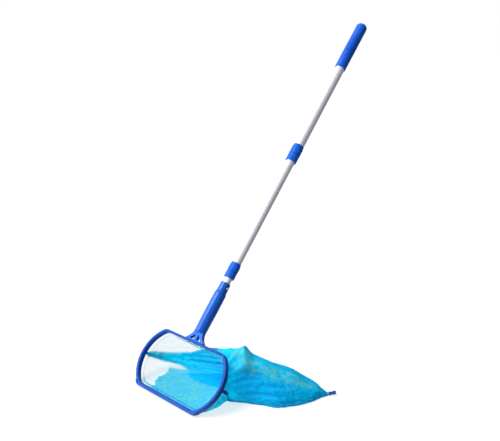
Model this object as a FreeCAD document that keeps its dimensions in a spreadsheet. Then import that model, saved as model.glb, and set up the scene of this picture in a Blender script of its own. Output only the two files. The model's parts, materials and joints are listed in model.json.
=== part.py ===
import FreeCAD, Part

import math
import os

import Sketcher

# A leaf skimmer net: a telescopic handle with two twist locks, a socket with three prongs,
# a barrel-shaped hoop and a net bag.
#
# The rigid pieces are drawn in the head's own frame: Z runs up the pole, X along the front lip,
# Y through the hoop's depth towards the bag, and Z is 0 at the lower bar's underside. They are then
# leaned back, so that the flat under the lip rests on the floor. The part's origin is the middle
# of that flat. The bag is drawn where it lies on the floor.

SIZES = {
    # Pose
    "lean": 43.0,
    # Hoop
    "hoop_height": 169.0,
    "bar_half": 111.0,
    "side_bulge": 42.7,
    "bar_band": 6.8,
    "side_band": 9.4,
    "hoop_depth": 15.0,
    "hoop_corner": 24.0,
    "hoop_rounding": 1.8,
    "hoop_front_rounding": 3.0,
    "channel_width": 3.0,
    "channel_depth": 5.0,
    "channel_gap": 0.1,
    "ring_sunk": 0.3,
    "ring_depth": 3.0,
    # Front lip
    "lip_drop": 4.2,
    "lip_wrap": 1.2,
    "lip_wrap_height": 2.5,
    "lip_toe": 2.0,
    "lip_heel_clear": 0.25,
    "lip_past_bar": 4.0,
    "lip_end_round": 4.0,
    "lip_gap": 0.1,
    # Socket and prongs
    "yoke_length": 27.0,
    "yoke_feet": 64.0,
    "yoke_depth": 12.0,
    "yoke_flare": 34.0,
    "prong_width": 9.0,
    "prong_pad": 3.5,
    "prong_crotch": 7.0,
    "socket_length": 154.0,
    "socket_foot_wall": 5.3,
    "socket_belly_wall": 6.2,
    "socket_neck_wall": 3.3,
    "socket_neck_length": 27.0,
    "socket_shoulder": 7.0,
    "socket_fit": 0.1,
    "socket_rounding": 1.2,
    # Screws through the top bar
    "screw_spread": 50.0,
    "screw_radius": 1.8,
    "screw_head_radius": 3.4,
    "screw_head": 2.0,
    "screw_bite": 10.0,
    "screw_fit": 0.1,
    # Pole sections, all with the same wall and the same room between them
    "inner_radius": 11.0,
    "tube_wall": 1.0,
    "tube_room": 1.0,
    "inner_length": 500.0,
    "inner_in_socket": 112.0,
    "mid_length": 514.0,
    "mid_shown": 346.0,
    "bare_stub": 16.0,
    "handle_length": 517.0,
    # Twist locks
    "mid_lock_wall": 2.5,
    "mid_nut": 20.0,
    "mid_ribbed": 19.0,
    "mid_cone": 8.0,
    "outer_lock_wall": 2.0,
    "outer_nut": 24.0,
    "outer_ribbed": 23.0,
    "outer_cone": 8.4,
    "lock_gap": 0.6,
    "spigot_wall": 1.9,
    "spigot_gap": 0.3,
    "spigot_length": 9.0,
    "tube_seat": 2.0,
    "nut_lip": 2.0,
    "nut_step": 0.3,
    "collet_fit": 0.05,
    "collet_wall": 1.7,
    "collet_taper": 0.8,
    "collet_slit": 1.6,
    "collet_slits": 4,
    "tube_pass": 0.4,
    "flutes": 24,
    "flute_radius": 1.0,
    "flute_sink": 0.45,
    "flute_end": 2.0,
    # Guide bushes
    "bush_head": 14.0,
    "bush_shank": 16.0,
    "bush_fit": 0.06,
    "bush_bore": 7.0,
    # Hand grip
    "grip_wall": 2.2,
    "grip_length": 172.0,
    "grip_chamfer": 1.0,
    "cap_length": 13.0,
    "cap_dome": 11.0,
    "cap_plug": 14.0,
    "grip_rings": 14,
    "grip_ring_pitch": 4.2,
    "grip_ring_width": 1.4,
    "grip_ring_depth": 0.7,
    "grip_rings_from": 62.0,
    # Snap buttons
    "button_below_mouth": 14.0,
    "button_radius": 3.5,
    "button_proud": 1.3,
    "button_dome": 1.0,
    "button_room": 0.5,
    "clip_arm": 56.0,
    "clip_strip": 0.8,
    "clip_width": 8.0,
    "clip_room": 0.9,
    "clip_bend": 6.0,
    "clip_split": 0.4,
    # Bag, as it lies
    "bag_wall": 1.4,
    "bag_off_floor": 0.6,
    "bag_hem_inset": 0.3,
    "bag_hem_band": 2.4,
    "bag_hem_depth": 3.5,
    "bag_mouth_gap": 0.1,
    "bag_heading": 39.4,
    "bag_length": 398.0,
    "bag_around": 24,
    "seam_width": 7.0,
    "seam_thick": 1.2,
    "seam_gap": 0.5,
    "tab_length": 19.0,
    "tab_width": 12.0,
    "tab_thick": 2.4,
    "tab_gap": 0.5,
}

# Radii of what the pole sections fit in and carry
INNER_RADIUS = "sizes.inner_radius"
MID_RADIUS = f"({INNER_RADIUS} + sizes.tube_room + sizes.tube_wall)"
OUTER_RADIUS = f"({MID_RADIUS} + sizes.tube_room + sizes.tube_wall)"
MID_LOCK_RADIUS = f"({MID_RADIUS} + sizes.mid_lock_wall)"
OUTER_LOCK_RADIUS = f"({OUTER_RADIUS} + sizes.outer_lock_wall)"
GRIP_RADIUS = f"({OUTER_RADIUS} + sizes.grip_wall)"
SOCKET_FOOT_RADIUS = f"({INNER_RADIUS} + sizes.socket_foot_wall)"
SOCKET_BELLY_RADIUS = f"({INNER_RADIUS} + sizes.socket_belly_wall)"
SOCKET_NECK_RADIUS = f"({INNER_RADIUS} + sizes.socket_neck_wall)"
CLIP_OUTSIDE = f"({INNER_RADIUS} - sizes.tube_wall - sizes.clip_room)"

# Places along the pole, from the lower bar's underside
TOP = "sizes.hoop_height"
SOCKET_FOOT = f"({TOP} + sizes.yoke_length)"
SOCKET_MOUTH = f"({SOCKET_FOOT} + sizes.socket_length)"
INNER_FOOT = f"({SOCKET_MOUTH} - sizes.inner_in_socket)"
INNER_HEAD = f"({INNER_FOOT} + sizes.inner_length)"
BUTTON = f"({SOCKET_MOUTH} - sizes.button_below_mouth)"
CLIP_PIVOT = f"({BUTTON} - sizes.clip_arm)"
MID_LOCK = f"({SOCKET_MOUTH} + sizes.bare_stub)"
MID_NUT_TOP = f"({MID_LOCK} + sizes.mid_nut)"
MID_LOCK_TOP = f"({MID_NUT_TOP} + sizes.lock_gap + sizes.mid_ribbed + sizes.mid_cone)"
MID_FOOT = f"({MID_NUT_TOP} + sizes.lock_gap + sizes.tube_seat)"
MID_HEAD = f"({MID_FOOT} + sizes.mid_length)"
OUTER_LOCK = f"({MID_LOCK_TOP} + sizes.mid_shown)"
OUTER_NUT_TOP = f"({OUTER_LOCK} + sizes.outer_nut)"
OUTER_FOOT = f"({OUTER_NUT_TOP} + sizes.lock_gap + sizes.tube_seat)"
HANDLE_END = f"({OUTER_LOCK} + sizes.handle_length)"
GRIP_TOP = f"({HANDLE_END} - sizes.cap_length)"
GRIP_FOOT = f"({HANDLE_END} - sizes.grip_length)"

# The hoop's sides are arcs that bulge past the bars' ends
HALF_HEIGHT = "(sizes.hoop_height / 2)"
SIDE_RADIUS = f"(({HALF_HEIGHT} ^ 2 + sizes.side_bulge ^ 2) / (2 * sizes.side_bulge))"
SIDE_CENTRE = f"(sizes.bar_half + sizes.side_bulge - {SIDE_RADIUS})"

# Lines that follow the hoop's outline, each as its inset at the two bars and at the two sides
EDGE = ("0", "0")
INNER_EDGE = ("sizes.bar_band", "sizes.side_band")
CHANNEL = ("(sizes.bar_band - sizes.channel_width) / 2", "(sizes.side_band - sizes.channel_width) / 2")

# How much of a corner a slanting face cuts off when it just touches the corner's rounding
CORNER_CUT = "(2 - sqrt(2))"

# Where the lip's bevel ends, so that the hoop's rounded lower edge just clears the floor
LIP_HEEL = (
    "(sizes.hoop_depth / 2 + sizes.lip_heel_clear - sizes.hoop_rounding"
    " * (sin(sizes.lean * 1 deg) + cos(sizes.lean * 1 deg) - 1) / sin(sizes.lean * 1 deg))"
)
LIP_FOOT = f"({LIP_HEEL} - sizes.lip_drop / tan(sizes.lean * 1 deg))"

doc = FreeCAD.newDocument("leaf_skimmer")
sheet = doc.addObject("Spreadsheet::Sheet", "sizes")
for row, (alias, size) in enumerate(SIZES.items(), start=1):
    sheet.set(f"A{row}", alias)
    sheet.set(f"B{row}", str(size))
    sheet.setAlias(f"B{row}", alias)
doc.recompute()

ORIGIN = -1
START = 1
END = 2


def worth(expression):
    """The number that an expression on the sheet comes to."""
    return float(sheet.evalExpression(str(expression)))


def new_body(label):
    """A body whose label names the piece."""
    body = doc.addObject("PartDesign::Body", label)
    body.Label = label
    return body


def new_sketch(body, name, plane, offset="0"):
    """A sketch on one of the body's own origin planes, moved along the plane's normal by offset."""
    sketch = body.newObject("Sketcher::SketchObject", f"{body.Name}_{name}")
    sides = [side for side in body.Origin.OriginFeatures if side.Role == plane]
    sketch.AttachmentSupport = [(sides[0], "")]
    sketch.MapMode = "FlatFace"
    sketch.setExpression(".AttachmentOffset.Base.z", offset)
    return sketch


def pin_value(sketch, constraint, name, expression):
    """Add a dimension to a sketch and bind it to an expression on the sheet."""
    index = sketch.addConstraint(constraint)
    sketch.renameConstraint(index, name)
    sketch.setExpression(f".Constraints.{name}", expression)


def arc_through(start, end, radius, bows_right):
    """The arc of the given radius from start to end, bowed to the right or left of that way."""
    chord = end - start
    half = chord.Length / 2
    reach = math.sqrt(max(radius * radius - half * half, 0.0))
    across = FreeCAD.Vector(chord.y, -chord.x, 0).normalize()
    side = -1 if bows_right else 1
    centre = start + chord * 0.5 + across * reach * side
    circle = Part.Circle(centre, FreeCAD.Vector(0, 0, 1), radius)
    first, last = (start, end) if bows_right else (end, start)
    return Part.ArcOfCircle(circle, circle.parameter(first), circle.parameter(last))


def closed_path(sketch, tag, corners, bows=None):
    """Draw a closed outline: corners are pairs of expressions, and bows gives the radius of each
    side that is an arc bowed to the right of the way round, or to the left if it is negative."""
    bows = bows or {}
    spots = [FreeCAD.Vector(worth(across), worth(up), 0) for across, up in corners]
    sides = []
    for index, spot in enumerate(spots):
        following = spots[(index + 1) % len(spots)]
        if index in bows:
            radius = worth(bows[index])
            number = sketch.addGeometry(arc_through(spot, following, abs(radius), radius > 0), False)
            ends = (START, END) if radius > 0 else (END, START)
            sides.append((number, *ends))
        else:
            number = sketch.addGeometry(Part.LineSegment(spot, following), False)
            sides.append((number, START, END))
    for index, (number, _, last) in enumerate(sides):
        following = sides[(index + 1) % len(sides)]
        sketch.addConstraint(Sketcher.Constraint("Coincident", number, last, following[0], following[1]))
    for index, (number, first, _) in enumerate(sides):
        across, up = corners[index]
        wide = Sketcher.Constraint("DistanceX", ORIGIN, START, number, first, spots[index].x)
        pin_value(sketch, wide, f"{tag}_across_{index}", across)
        high = Sketcher.Constraint("DistanceY", ORIGIN, START, number, first, spots[index].y)
        pin_value(sketch, high, f"{tag}_up_{index}", up)
        if index in bows:
            radius = abs(worth(bows[index]))
            bow = Sketcher.Constraint("Radius", number, radius)
            pin_value(sketch, bow, f"{tag}_bow_{index}", f"abs({bows[index]})")


def circle_on(sketch, tag, across, up, radius):
    """Draw a circle whose centre and radius are expressions."""
    centre = FreeCAD.Vector(worth(across), worth(up), 0)
    number = sketch.addGeometry(Part.Circle(centre, FreeCAD.Vector(0, 0, 1), worth(radius)), False)
    pin_value(sketch, Sketcher.Constraint("Radius", number, worth(radius)), f"{tag}_radius", radius)
    wide = Sketcher.Constraint("DistanceX", ORIGIN, START, number, 3, centre.x)
    pin_value(sketch, wide, f"{tag}_across", across)
    high = Sketcher.Constraint("DistanceY", ORIGIN, START, number, 3, centre.y)
    pin_value(sketch, high, f"{tag}_up", up)


def turned(label, outline, bows=None):
    """A body turned about the pole's axis from an outline of radii and heights."""
    body = new_body(label)
    sketch = new_sketch(body, "outline", "XZ_Plane")
    closed_path(sketch, "turn", outline, bows)
    turn = body.newObject("PartDesign::Revolution", f"{body.Name}_turn")
    turn.Profile = sketch
    turn.ReferenceAxis = (sketch, ["V_Axis"])
    turn.Angle = 360
    return body


def padded(body, sketch, length, both_ways=False):
    """Push a sketch out into a solid."""
    pad = body.newObject("PartDesign::Pad", f"{sketch.Name}_pad")
    pad.Profile = sketch
    pad.setExpression("Length", length)
    if both_ways:
        pad.SideType = "Symmetric"
    return pad


def pocketed(body, sketch, length, both_ways=False, reverse=False):
    """Cut a sketch's shape out of the body, and check that it took something away."""
    doc.recompute()
    before = body.Shape.Volume
    pocket = body.newObject("PartDesign::Pocket", f"{sketch.Name}_pocket")
    pocket.Profile = sketch
    pocket.setExpression("Length", length)
    pocket.Reversed = reverse
    if both_ways:
        pocket.SideType = "Symmetric"
    doc.recompute()
    if body.Shape.Volume >= before:
        raise ValueError(f"{pocket.Name} cuts nothing")
    return pocket


def repeated_round(body, feature, sketch, count):
    """Repeat a cut all round the pole's axis."""
    pattern = body.newObject("PartDesign::PolarPattern", f"{feature.Name}_round")
    pattern.Originals = [feature]
    pattern.Axis = (sketch, ["N_Axis"])
    pattern.Angle = 360
    pattern.setExpression("Occurrences", count)
    body.Tip = pattern
    return pattern


def rounded(body, wanted, radius):
    """Round the edges of the body that wanted picks out."""
    doc.recompute()
    names = [f"Edge{number}" for number, edge in enumerate(body.Shape.Edges, start=1) if wanted(edge)]
    base = body.Tip
    fillet = body.newObject("PartDesign::Fillet", f"{body.Name}_round_{len(body.Group)}")
    fillet.Base = (base, names)
    fillet.setExpression("Radius", radius)
    return fillet


def is_level(edge, direction):
    """Whether an edge is a straight line along a direction."""
    if edge.Curve.TypeId != "Part::GeomLine":
        return False
    return abs(abs(edge.tangentAt(edge.FirstParameter).dot(direction)) - 1) < 1e-6


# Pole sections


def make_tube(label, radius, foot, head):
    """A plain aluminium tube."""
    bore = f"{radius} - sizes.tube_wall"
    return turned(label, [(bore, foot), (radius, foot), (radius, head), (bore, head)])


def make_bush(label, tube_radius, guide_radius, seat):
    """A plug with its shank in a tube's upper end and a head that slides in the next tube."""
    shank = f"{tube_radius} - sizes.tube_wall"
    head = f"{guide_radius} - sizes.tube_wall - sizes.bush_fit"
    top = f"{seat} + sizes.bush_head"
    body = turned(
        label,
        [
            ("sizes.bush_bore", f"{seat} - sizes.bush_shank"),
            (shank, f"{seat} - sizes.bush_shank"),
            (shank, seat),
            (head, seat),
            (head, top),
            ("sizes.bush_bore", top),
        ],
    )
    return body


def inner_tube():
    """The thinnest section, with a hole each side for the snap buttons."""
    body = make_tube("inner_tube", INNER_RADIUS, INNER_FOOT, INNER_HEAD)
    sketch = new_sketch(body, "button_holes", "YZ_Plane")
    circle_on(sketch, "hole", "0", BUTTON, "sizes.button_radius + sizes.button_room")
    pocketed(body, sketch, f"{INNER_RADIUS} * 3", both_ways=True)
    return body


# Twist locks


def fluted(body, tag, radius, top, length):
    """Cut grip flutes round a collar, from its top down."""
    sketch = new_sketch(body, f"{tag}_flute", "XY_Plane", top)
    centre = f"{radius} + sizes.flute_radius - sizes.flute_sink"
    circle_on(sketch, "flute", centre, "0", "sizes.flute_radius")
    pocket = pocketed(body, sketch, length)
    repeated_round(body, pocket, sketch, "sizes.flutes")


def make_lock(name, foot, radius, thick, thin, nut, ribbed, cone):
    """A lock body fixed on the thick tube, a nut that turns below it and a collet between them."""
    nut_top = f"{foot} + {nut}"
    base = f"{nut_top} + sizes.lock_gap"
    seat = f"{base} + sizes.tube_seat"
    ribs_top = f"{base} + {ribbed}"
    spigot = f"{thin} + sizes.tube_pass + sizes.spigot_wall"
    spigot_end = f"{nut_top} - sizes.spigot_length"
    passing = f"{thin} + sizes.tube_pass"
    lock_body = turned(
        f"{name}_lock_body",
        [
            (passing, spigot_end),
            (spigot, spigot_end),
            (spigot, base),
            (f"{radius} - sizes.grip_chamfer / 2", base),
            (radius, f"{base} + sizes.grip_chamfer / 2"),
            (radius, ribs_top),
            (f"{thick} + sizes.tube_wall * 0.8", f"{ribs_top} + {cone}"),
            (thick, f"{ribs_top} + {cone}"),
            (thick, seat),
            (passing, seat),
        ],
    )
    fluted(lock_body, "body", radius, f"{ribs_top} - sizes.flute_end", f"{ribbed} - sizes.flute_end * 1.5")
    inside = f"{spigot} + sizes.spigot_gap"
    lock_nut = turned(
        f"{name}_lock_nut",
        [
            (passing, foot),
            (f"{radius} - sizes.grip_chamfer", foot),
            (f"{radius} - sizes.nut_step", f"{foot} + sizes.grip_chamfer"),
            (f"{radius} - sizes.nut_step", f"{nut_top} - sizes.grip_chamfer / 2"),
            (f"{radius} - sizes.grip_chamfer / 2 - sizes.nut_step", nut_top),
            (inside, nut_top),
            (inside, f"{foot} + sizes.nut_lip"),
            (passing, f"{foot} + sizes.nut_lip"),
        ],
    )
    top = f"{nut_top} - sizes.flute_end"
    fluted(lock_nut, "nut", f"{radius} - sizes.nut_step", top, f"{nut} - sizes.flute_end * 2")
    bore = f"{thin} + sizes.collet_fit"
    collet_foot = f"{foot} + sizes.nut_lip + sizes.spigot_gap"
    collet = turned(
        f"{name}_lock_collet",
        [
            (bore, collet_foot),
            (f"{bore} + sizes.collet_wall - sizes.collet_taper", collet_foot),
            (f"{bore} + sizes.collet_wall", f"{collet_foot} + sizes.collet_taper * 3"),
            (f"{bore} + sizes.collet_wall", spigot_end),
            (bore, spigot_end),
        ],
    )
    sketch = new_sketch(collet, "slit", "XY_Plane", f"{spigot_end} - sizes.collet_wall")
    half = "sizes.collet_slit / 2"
    far = f"{bore} + sizes.collet_wall * 2"
    closed_path(sketch, "slit", [("0", f"-{half}"), (far, f"-{half}"), (far, half), ("0", half)])
    pocket = pocketed(collet, sketch, f"{nut}")
    repeated_round(collet, pocket, sketch, "sizes.collet_slits")
    return lock_body, lock_nut, collet


# Hand grip


def handle_grip():
    """A soft sleeve over the outer tube, with a band of fine rings to hold."""
    body = turned(
        "handle_grip",
        [
            (OUTER_RADIUS, GRIP_FOOT),
            (f"{GRIP_RADIUS} - sizes.grip_chamfer", GRIP_FOOT),
            (GRIP_RADIUS, f"{GRIP_FOOT} + sizes.grip_chamfer"),
            (GRIP_RADIUS, GRIP_TOP),
            (OUTER_RADIUS, GRIP_TOP),
        ],
    )
    doc.recompute()
    before = body.Shape.Volume
    sketch = new_sketch(body, "ring", "XZ_Plane")
    low = f"{GRIP_FOOT} + sizes.grip_rings_from"
    bottom = f"{GRIP_RADIUS} - sizes.grip_ring_depth"
    past = f"{GRIP_RADIUS} + sizes.grip_ring_depth"
    closed_path(
        sketch,
        "ring",
        [
            (bottom, f"{low} + sizes.grip_ring_width / 3"),
            (past, low),
            (past, f"{low} + sizes.grip_ring_width"),
            (bottom, f"{low} + sizes.grip_ring_width * 2 / 3"),
        ],
    )
    groove = body.newObject("PartDesign::Groove", f"{body.Name}_groove")
    groove.Profile = sketch
    groove.ReferenceAxis = (sketch, ["V_Axis"])
    groove.Angle = 360
    pattern = body.newObject("PartDesign::LinearPattern", f"{body.Name}_rings")
    pattern.Originals = [groove]
    pattern.Direction = (sketch, ["V_Axis"])
    pattern.setExpression("Occurrences", "sizes.grip_rings")
    pattern.setExpression("Length", "(sizes.grip_rings - 1) * sizes.grip_ring_pitch")
    body.Tip = pattern
    doc.recompute()
    if body.Shape.Volume >= before:
        raise ValueError("the grip's rings cut nothing")
    return body


def grip_end_cap():
    """A domed cap whose plug is pressed into the outer tube."""
    bore = f"{OUTER_RADIUS} - sizes.tube_wall"
    body = turned(
        "grip_end_cap",
        [
            ("0", f"{GRIP_TOP} - sizes.cap_plug"),
            (bore, f"{GRIP_TOP} - sizes.cap_plug"),
            (bore, GRIP_TOP),
            (GRIP_RADIUS, GRIP_TOP),
            (GRIP_RADIUS, HANDLE_END),
            ("0", HANDLE_END),
        ],
    )
    rim = worth(HANDLE_END)
    rounded(body, lambda edge: abs(edge.BoundBox.ZMin - rim) < 1e-6 and edge.Length > 1, "sizes.cap_dome")
    return body


# Head


def further_in(line, distance):
    """A line that runs a distance inside another one."""
    at_bars, at_sides = line
    return f"{at_bars} + {distance}", f"{at_sides} + {distance}"


def hoop_corners(line):
    """The four corners of a line that follows the hoop's outline, and its two bows."""
    at_bars, at_sides = line
    bow = f"{SIDE_RADIUS} - ({at_sides})"
    reach = f"{SIDE_CENTRE} + sqrt(({bow}) ^ 2 - ({HALF_HEIGHT} - ({at_bars})) ^ 2)"
    high = f"sizes.hoop_height - ({at_bars})"
    corners = [(f"-({reach})", at_bars), (reach, at_bars), (reach, high), (f"-({reach})", high)]
    return corners, {1: bow, 3: bow}


def band_between(label, outside, inside, front, depth):
    """A closed band between two lines that follow the hoop's outline, from front backwards by depth."""
    body = new_body(label)
    sketch = new_sketch(body, "band", "XZ_Plane", f"-({front}) - ({depth})")
    for tag, line in (("outside", outside), ("inside", inside)):
        corners, bows = hoop_corners(line)
        closed_path(sketch, tag, corners, bows)
    padded(body, sketch, depth)
    return body


def round_corners(body):
    """Round the hoop's four corners, inside and outside."""
    sideways = FreeCAD.Vector(0, 1, 0)
    middle = worth(TOP) / 2
    outside = middle - worth("sizes.bar_band") / 2
    rounded(
        body,
        lambda edge: is_level(edge, sideways) and abs(edge.CenterOfMass.z - middle) > outside,
        "sizes.hoop_corner",
    )
    rounded(
        body,
        lambda edge: is_level(edge, sideways)
        and abs(edge.CenterOfMass.z - middle) < outside
        and not is_smooth(body, edge),
        "sizes.hoop_corner - sizes.side_band",
    )


def is_smooth(body, edge):
    """Whether the two faces that meet in an edge run on into each other there."""
    faces = [face for face in body.Shape.Faces if any(edge.isSame(side) for side in face.Edges)]
    spot = edge.CenterOfMass
    normals = [face.normalAt(*face.Surface.parameter(spot)) for face in faces]
    return len(normals) == 2 and abs(normals[0].dot(normals[1])) > 0.9999


def hoop_frame():
    """The moulded hoop, with a channel in its back face and two screw holes in its top bar."""
    back = "sizes.hoop_depth / 2"
    body = band_between("hoop_frame", EDGE, INNER_EDGE, f"-{back}", "sizes.hoop_depth")
    round_corners(body)
    edge_of_face = worth(back)
    for side, radius in ((1, "sizes.hoop_rounding"), (-1, "sizes.hoop_front_rounding")):
        rounded(body, lambda edge: abs(edge.BoundBox.YMin - side * edge_of_face) < 1e-6
                and edge.BoundBox.YLength < 1e-6, radius)
    channel = new_sketch(body, "channel", "XZ_Plane", f"-({back} - sizes.channel_depth)")
    for tag, line in (("outside", CHANNEL), ("inside", further_in(CHANNEL, "sizes.channel_width"))):
        corners, bows = hoop_corners(line)
        closed_path(channel, tag, corners, bows)
    pocketed(body, channel, "sizes.channel_depth * 2")
    holes = new_sketch(body, "screw_holes", "XY_Plane", f"{TOP} + sizes.bar_band")
    for tag, sign in (("left", "-"), ("right", "")):
        place = f"{sign}sizes.screw_spread / 2"
        circle_on(holes, tag, place, "0", "sizes.screw_radius + sizes.screw_fit")
    pocketed(body, holes, "sizes.bar_band * 3")
    return body


def net_retaining_ring():
    """The strip pressed into the hoop's channel over the net's edge."""
    outside = further_in(CHANNEL, "sizes.channel_gap")
    inside = further_in(CHANNEL, "sizes.channel_width - sizes.channel_gap")
    front = "sizes.hoop_depth / 2 - sizes.ring_sunk - sizes.ring_depth"
    return band_between("net_retaining_ring", outside, inside, front, "sizes.ring_depth")


def bag_hem():
    """The bound edge of the bag, right behind the hoop."""
    outside = further_in(CHANNEL, "sizes.bag_hem_inset")
    inside = further_in(outside, "sizes.bag_hem_band")
    return band_between("bag_hem", outside, inside, "sizes.hoop_depth / 2", "sizes.bag_hem_depth")


def front_lip_strip():
    """The lip under the lower bar. Its bevelled back is the flat that the part rests on."""
    body = new_body("front_lip_strip")
    sketch = new_sketch(body, "section", "YZ_Plane")
    front = "-(sizes.hoop_depth / 2 + sizes.lip_gap)"
    face = f"{front} - sizes.lip_wrap"
    closed_path(
        sketch,
        "lip",
        [
            (f"-sizes.hoop_depth / 2 + {CORNER_CUT} * sizes.hoop_front_rounding", "0"),
            (front, f"{CORNER_CUT} * sizes.hoop_front_rounding"),
            (front, "sizes.lip_wrap_height"),
            (face, "sizes.lip_wrap_height"),
            (face, "-sizes.lip_drop / 2"),
            (f"{face} + sizes.lip_toe", "-sizes.lip_drop"),
            (LIP_FOOT, "-sizes.lip_drop"),
            (LIP_HEEL, "0"),
        ],
    )
    padded(body, sketch, "(sizes.bar_half + sizes.lip_past_bar) * 2", both_ways=True)
    end = worth("sizes.bar_half + sizes.lip_past_bar")
    foremost = worth(face)
    rounded(body, lambda edge: abs(abs(edge.BoundBox.XMin) - end) < 1e-6 and edge.BoundBox.XLength < 1e-6
            and edge.BoundBox.YMax < foremost + 1e-6, "sizes.lip_end_round")
    return body


def head_socket():
    """The socket that the pole plugs into, ending in three prongs on the top bar."""
    mouth_chamfer = "sizes.socket_rounding"
    neck_foot = f"{SOCKET_MOUTH} - sizes.socket_neck_length"
    waist = f"{SOCKET_FOOT} + sizes.socket_length * 0.45"
    body = turned(
        "head_socket",
        [
            ("0", SOCKET_FOOT),
            (SOCKET_FOOT_RADIUS, SOCKET_FOOT),
            (SOCKET_BELLY_RADIUS, waist),
            (f"{SOCKET_BELLY_RADIUS} - 0.4", f"{neck_foot} - sizes.socket_shoulder"),
            (f"{SOCKET_NECK_RADIUS} + 0.5", neck_foot),
            (SOCKET_NECK_RADIUS, f"{SOCKET_MOUTH} - {mouth_chamfer}"),
            (f"{SOCKET_NECK_RADIUS} - {mouth_chamfer}", SOCKET_MOUTH),
            ("0", SOCKET_MOUTH),
        ],
    )
    web = new_sketch(body, "prongs", "XZ_Plane")
    half = "sizes.yoke_feet / 2"
    pad_top = f"{TOP} + sizes.prong_pad"
    root = f"{SOCKET_FOOT_RADIUS} - 0.3"
    top = f"{SOCKET_FOOT} + sizes.socket_rounding"
    closed_path(
        web,
        "web",
        [
            (f"-({half})", TOP),
            (half, TOP),
            (half, pad_top),
            (root, top),
            (f"-({root})", top),
            (f"-({half})", pad_top),
        ],
        {2: "-sizes.yoke_flare", 4: "-sizes.yoke_flare"},
    )
    padded(body, web, "sizes.yoke_depth", both_ways=True)
    gaps = new_sketch(body, "prong_gaps", "XZ_Plane")
    near = "sizes.prong_width / 2"
    far = f"{half} - sizes.prong_width * 1.25"
    low = f"{TOP} + sizes.prong_pad"
    high = f"{SOCKET_FOOT} - sizes.prong_crotch"
    for tag, sign in (("left", "-"), ("right", "")):
        corners = [(f"{sign}({near})", low), (f"{sign}({far})", low), (f"{sign}({near})", high)]
        closed_path(gaps, tag, corners)
    pocketed(body, gaps, "sizes.yoke_depth * 2", both_ways=True)
    bore = new_sketch(body, "bore", "XY_Plane", SOCKET_MOUTH)
    circle_on(bore, "bore", "0", "0", f"{INNER_RADIUS} + sizes.socket_fit")
    pocketed(body, bore, "sizes.inner_in_socket + sizes.socket_fit * 5")
    buttons = new_sketch(body, "button_holes", "YZ_Plane")
    circle_on(buttons, "hole", "0", BUTTON, "sizes.button_radius + sizes.button_room")
    pocketed(body, buttons, f"{SOCKET_NECK_RADIUS} * 3", both_ways=True)
    pilots = new_sketch(body, "screw_pilots", "XY_Plane", f"{TOP} + sizes.screw_bite + sizes.screw_fit")
    for tag, sign in (("left", "-"), ("right", "")):
        place = f"{sign}sizes.screw_spread / 2"
        circle_on(pilots, tag, place, "0", "sizes.screw_radius + sizes.screw_fit / 2")
    pocketed(body, pilots, "sizes.screw_bite * 2")
    return body


def socket_screws():
    """Two pan-head screws up through the top bar into the outer prongs' feet."""
    screws = []
    for tag, sign in (("left", "-"), ("right", "")):
        shank = doc.addObject("Part::Cylinder", f"screw_{tag}_shank")
        shank.setExpression("Radius", "sizes.screw_radius")
        shank.setExpression("Height", "sizes.bar_band + sizes.screw_bite")
        shank.setExpression("Placement.Base.z", f"{TOP} - sizes.bar_band")
        head = doc.addObject("Part::Cylinder", f"screw_{tag}_head")
        head.setExpression("Radius", "sizes.screw_head_radius")
        head.setExpression("Height", "sizes.screw_head")
        head.setExpression("Placement.Base.z", f"{TOP} - sizes.bar_band - sizes.screw_head")
        for piece in (shank, head):
            piece.setExpression("Placement.Base.x", f"{sign}sizes.screw_spread / 2")
        screw = doc.addObject("Part::Fuse", f"screw_{tag}")
        screw.Base = shank
        screw.Tool = head
        screws.append(screw)
    group = doc.addObject("Part::Compound", "socket_screws")
    group.Label = "socket_screws"
    group.Links = screws
    return group


# Snap buttons in the socket's neck


def clip_spring():
    """The bend of the spring strip, wedged across the inner tube's bore."""
    body = new_body("clip_spring")
    sketch = new_sketch(body, "strip", "XZ_Plane")
    out = CLIP_OUTSIDE
    inside = f"{out} - sizes.clip_strip"
    low = f"{CLIP_PIVOT} - sizes.clip_bend"
    closed_path(
        sketch,
        "strip",
        [
            (f"-({out})", low),
            (out, low),
            (out, CLIP_PIVOT),
            (inside, CLIP_PIVOT),
            (inside, f"{low} + sizes.clip_strip"),
            (f"-({inside})", f"{low} + sizes.clip_strip"),
            (f"-({inside})", CLIP_PIVOT),
            (f"-({out})", CLIP_PIVOT),
        ],
    )
    padded(body, sketch, "sizes.clip_width", both_ways=True)
    return body


def clip_button(label, sign):
    """One leg of the spring strip with its button, which stands out through tube and socket."""
    body = new_body(label)
    sketch = new_sketch(body, "leg", "XZ_Plane")
    out = CLIP_OUTSIDE
    inside = f"{out} - sizes.clip_strip"
    low = f"{CLIP_PIVOT} + sizes.clip_split"
    high = f"{BUTTON} + sizes.button_radius + sizes.clip_strip"
    corners = [(inside, low), (out, low), (out, high), (inside, high)]
    closed_path(sketch, "leg", [(f"{sign}({across})", up) for across, up in corners])
    padded(body, sketch, "sizes.clip_width", both_ways=True)
    button = new_sketch(body, "button", "YZ_Plane", f"{sign}({inside})")
    circle_on(button, "button", "0", BUTTON, "sizes.button_radius")
    end = f"{SOCKET_NECK_RADIUS} + sizes.button_proud"
    pad = padded(body, button, f"{end} - ({inside})")
    pad.Reversed = sign == "-"
    doc.recompute()
    tip = worth(end)
    rounded(body, lambda edge: abs(abs(edge.BoundBox.XMin) - tip) < 1e-6
            and edge.BoundBox.XLength < 1e-6, "sizes.button_dome")
    return body


# Bag


def floor_frame():
    """How the leaned pieces are placed: turned back, with the middle of the foot at the origin."""
    foot = FreeCAD.Vector(0, worth(f"({LIP_FOOT} + {LIP_HEEL}) / 2"), -worth("sizes.lip_drop") / 2)
    turn = FreeCAD.Rotation(FreeCAD.Vector(1, 0, 0), -worth("sizes.lean"))
    return FreeCAD.Placement(turn.multVec(foot) * -1, turn)


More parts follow.
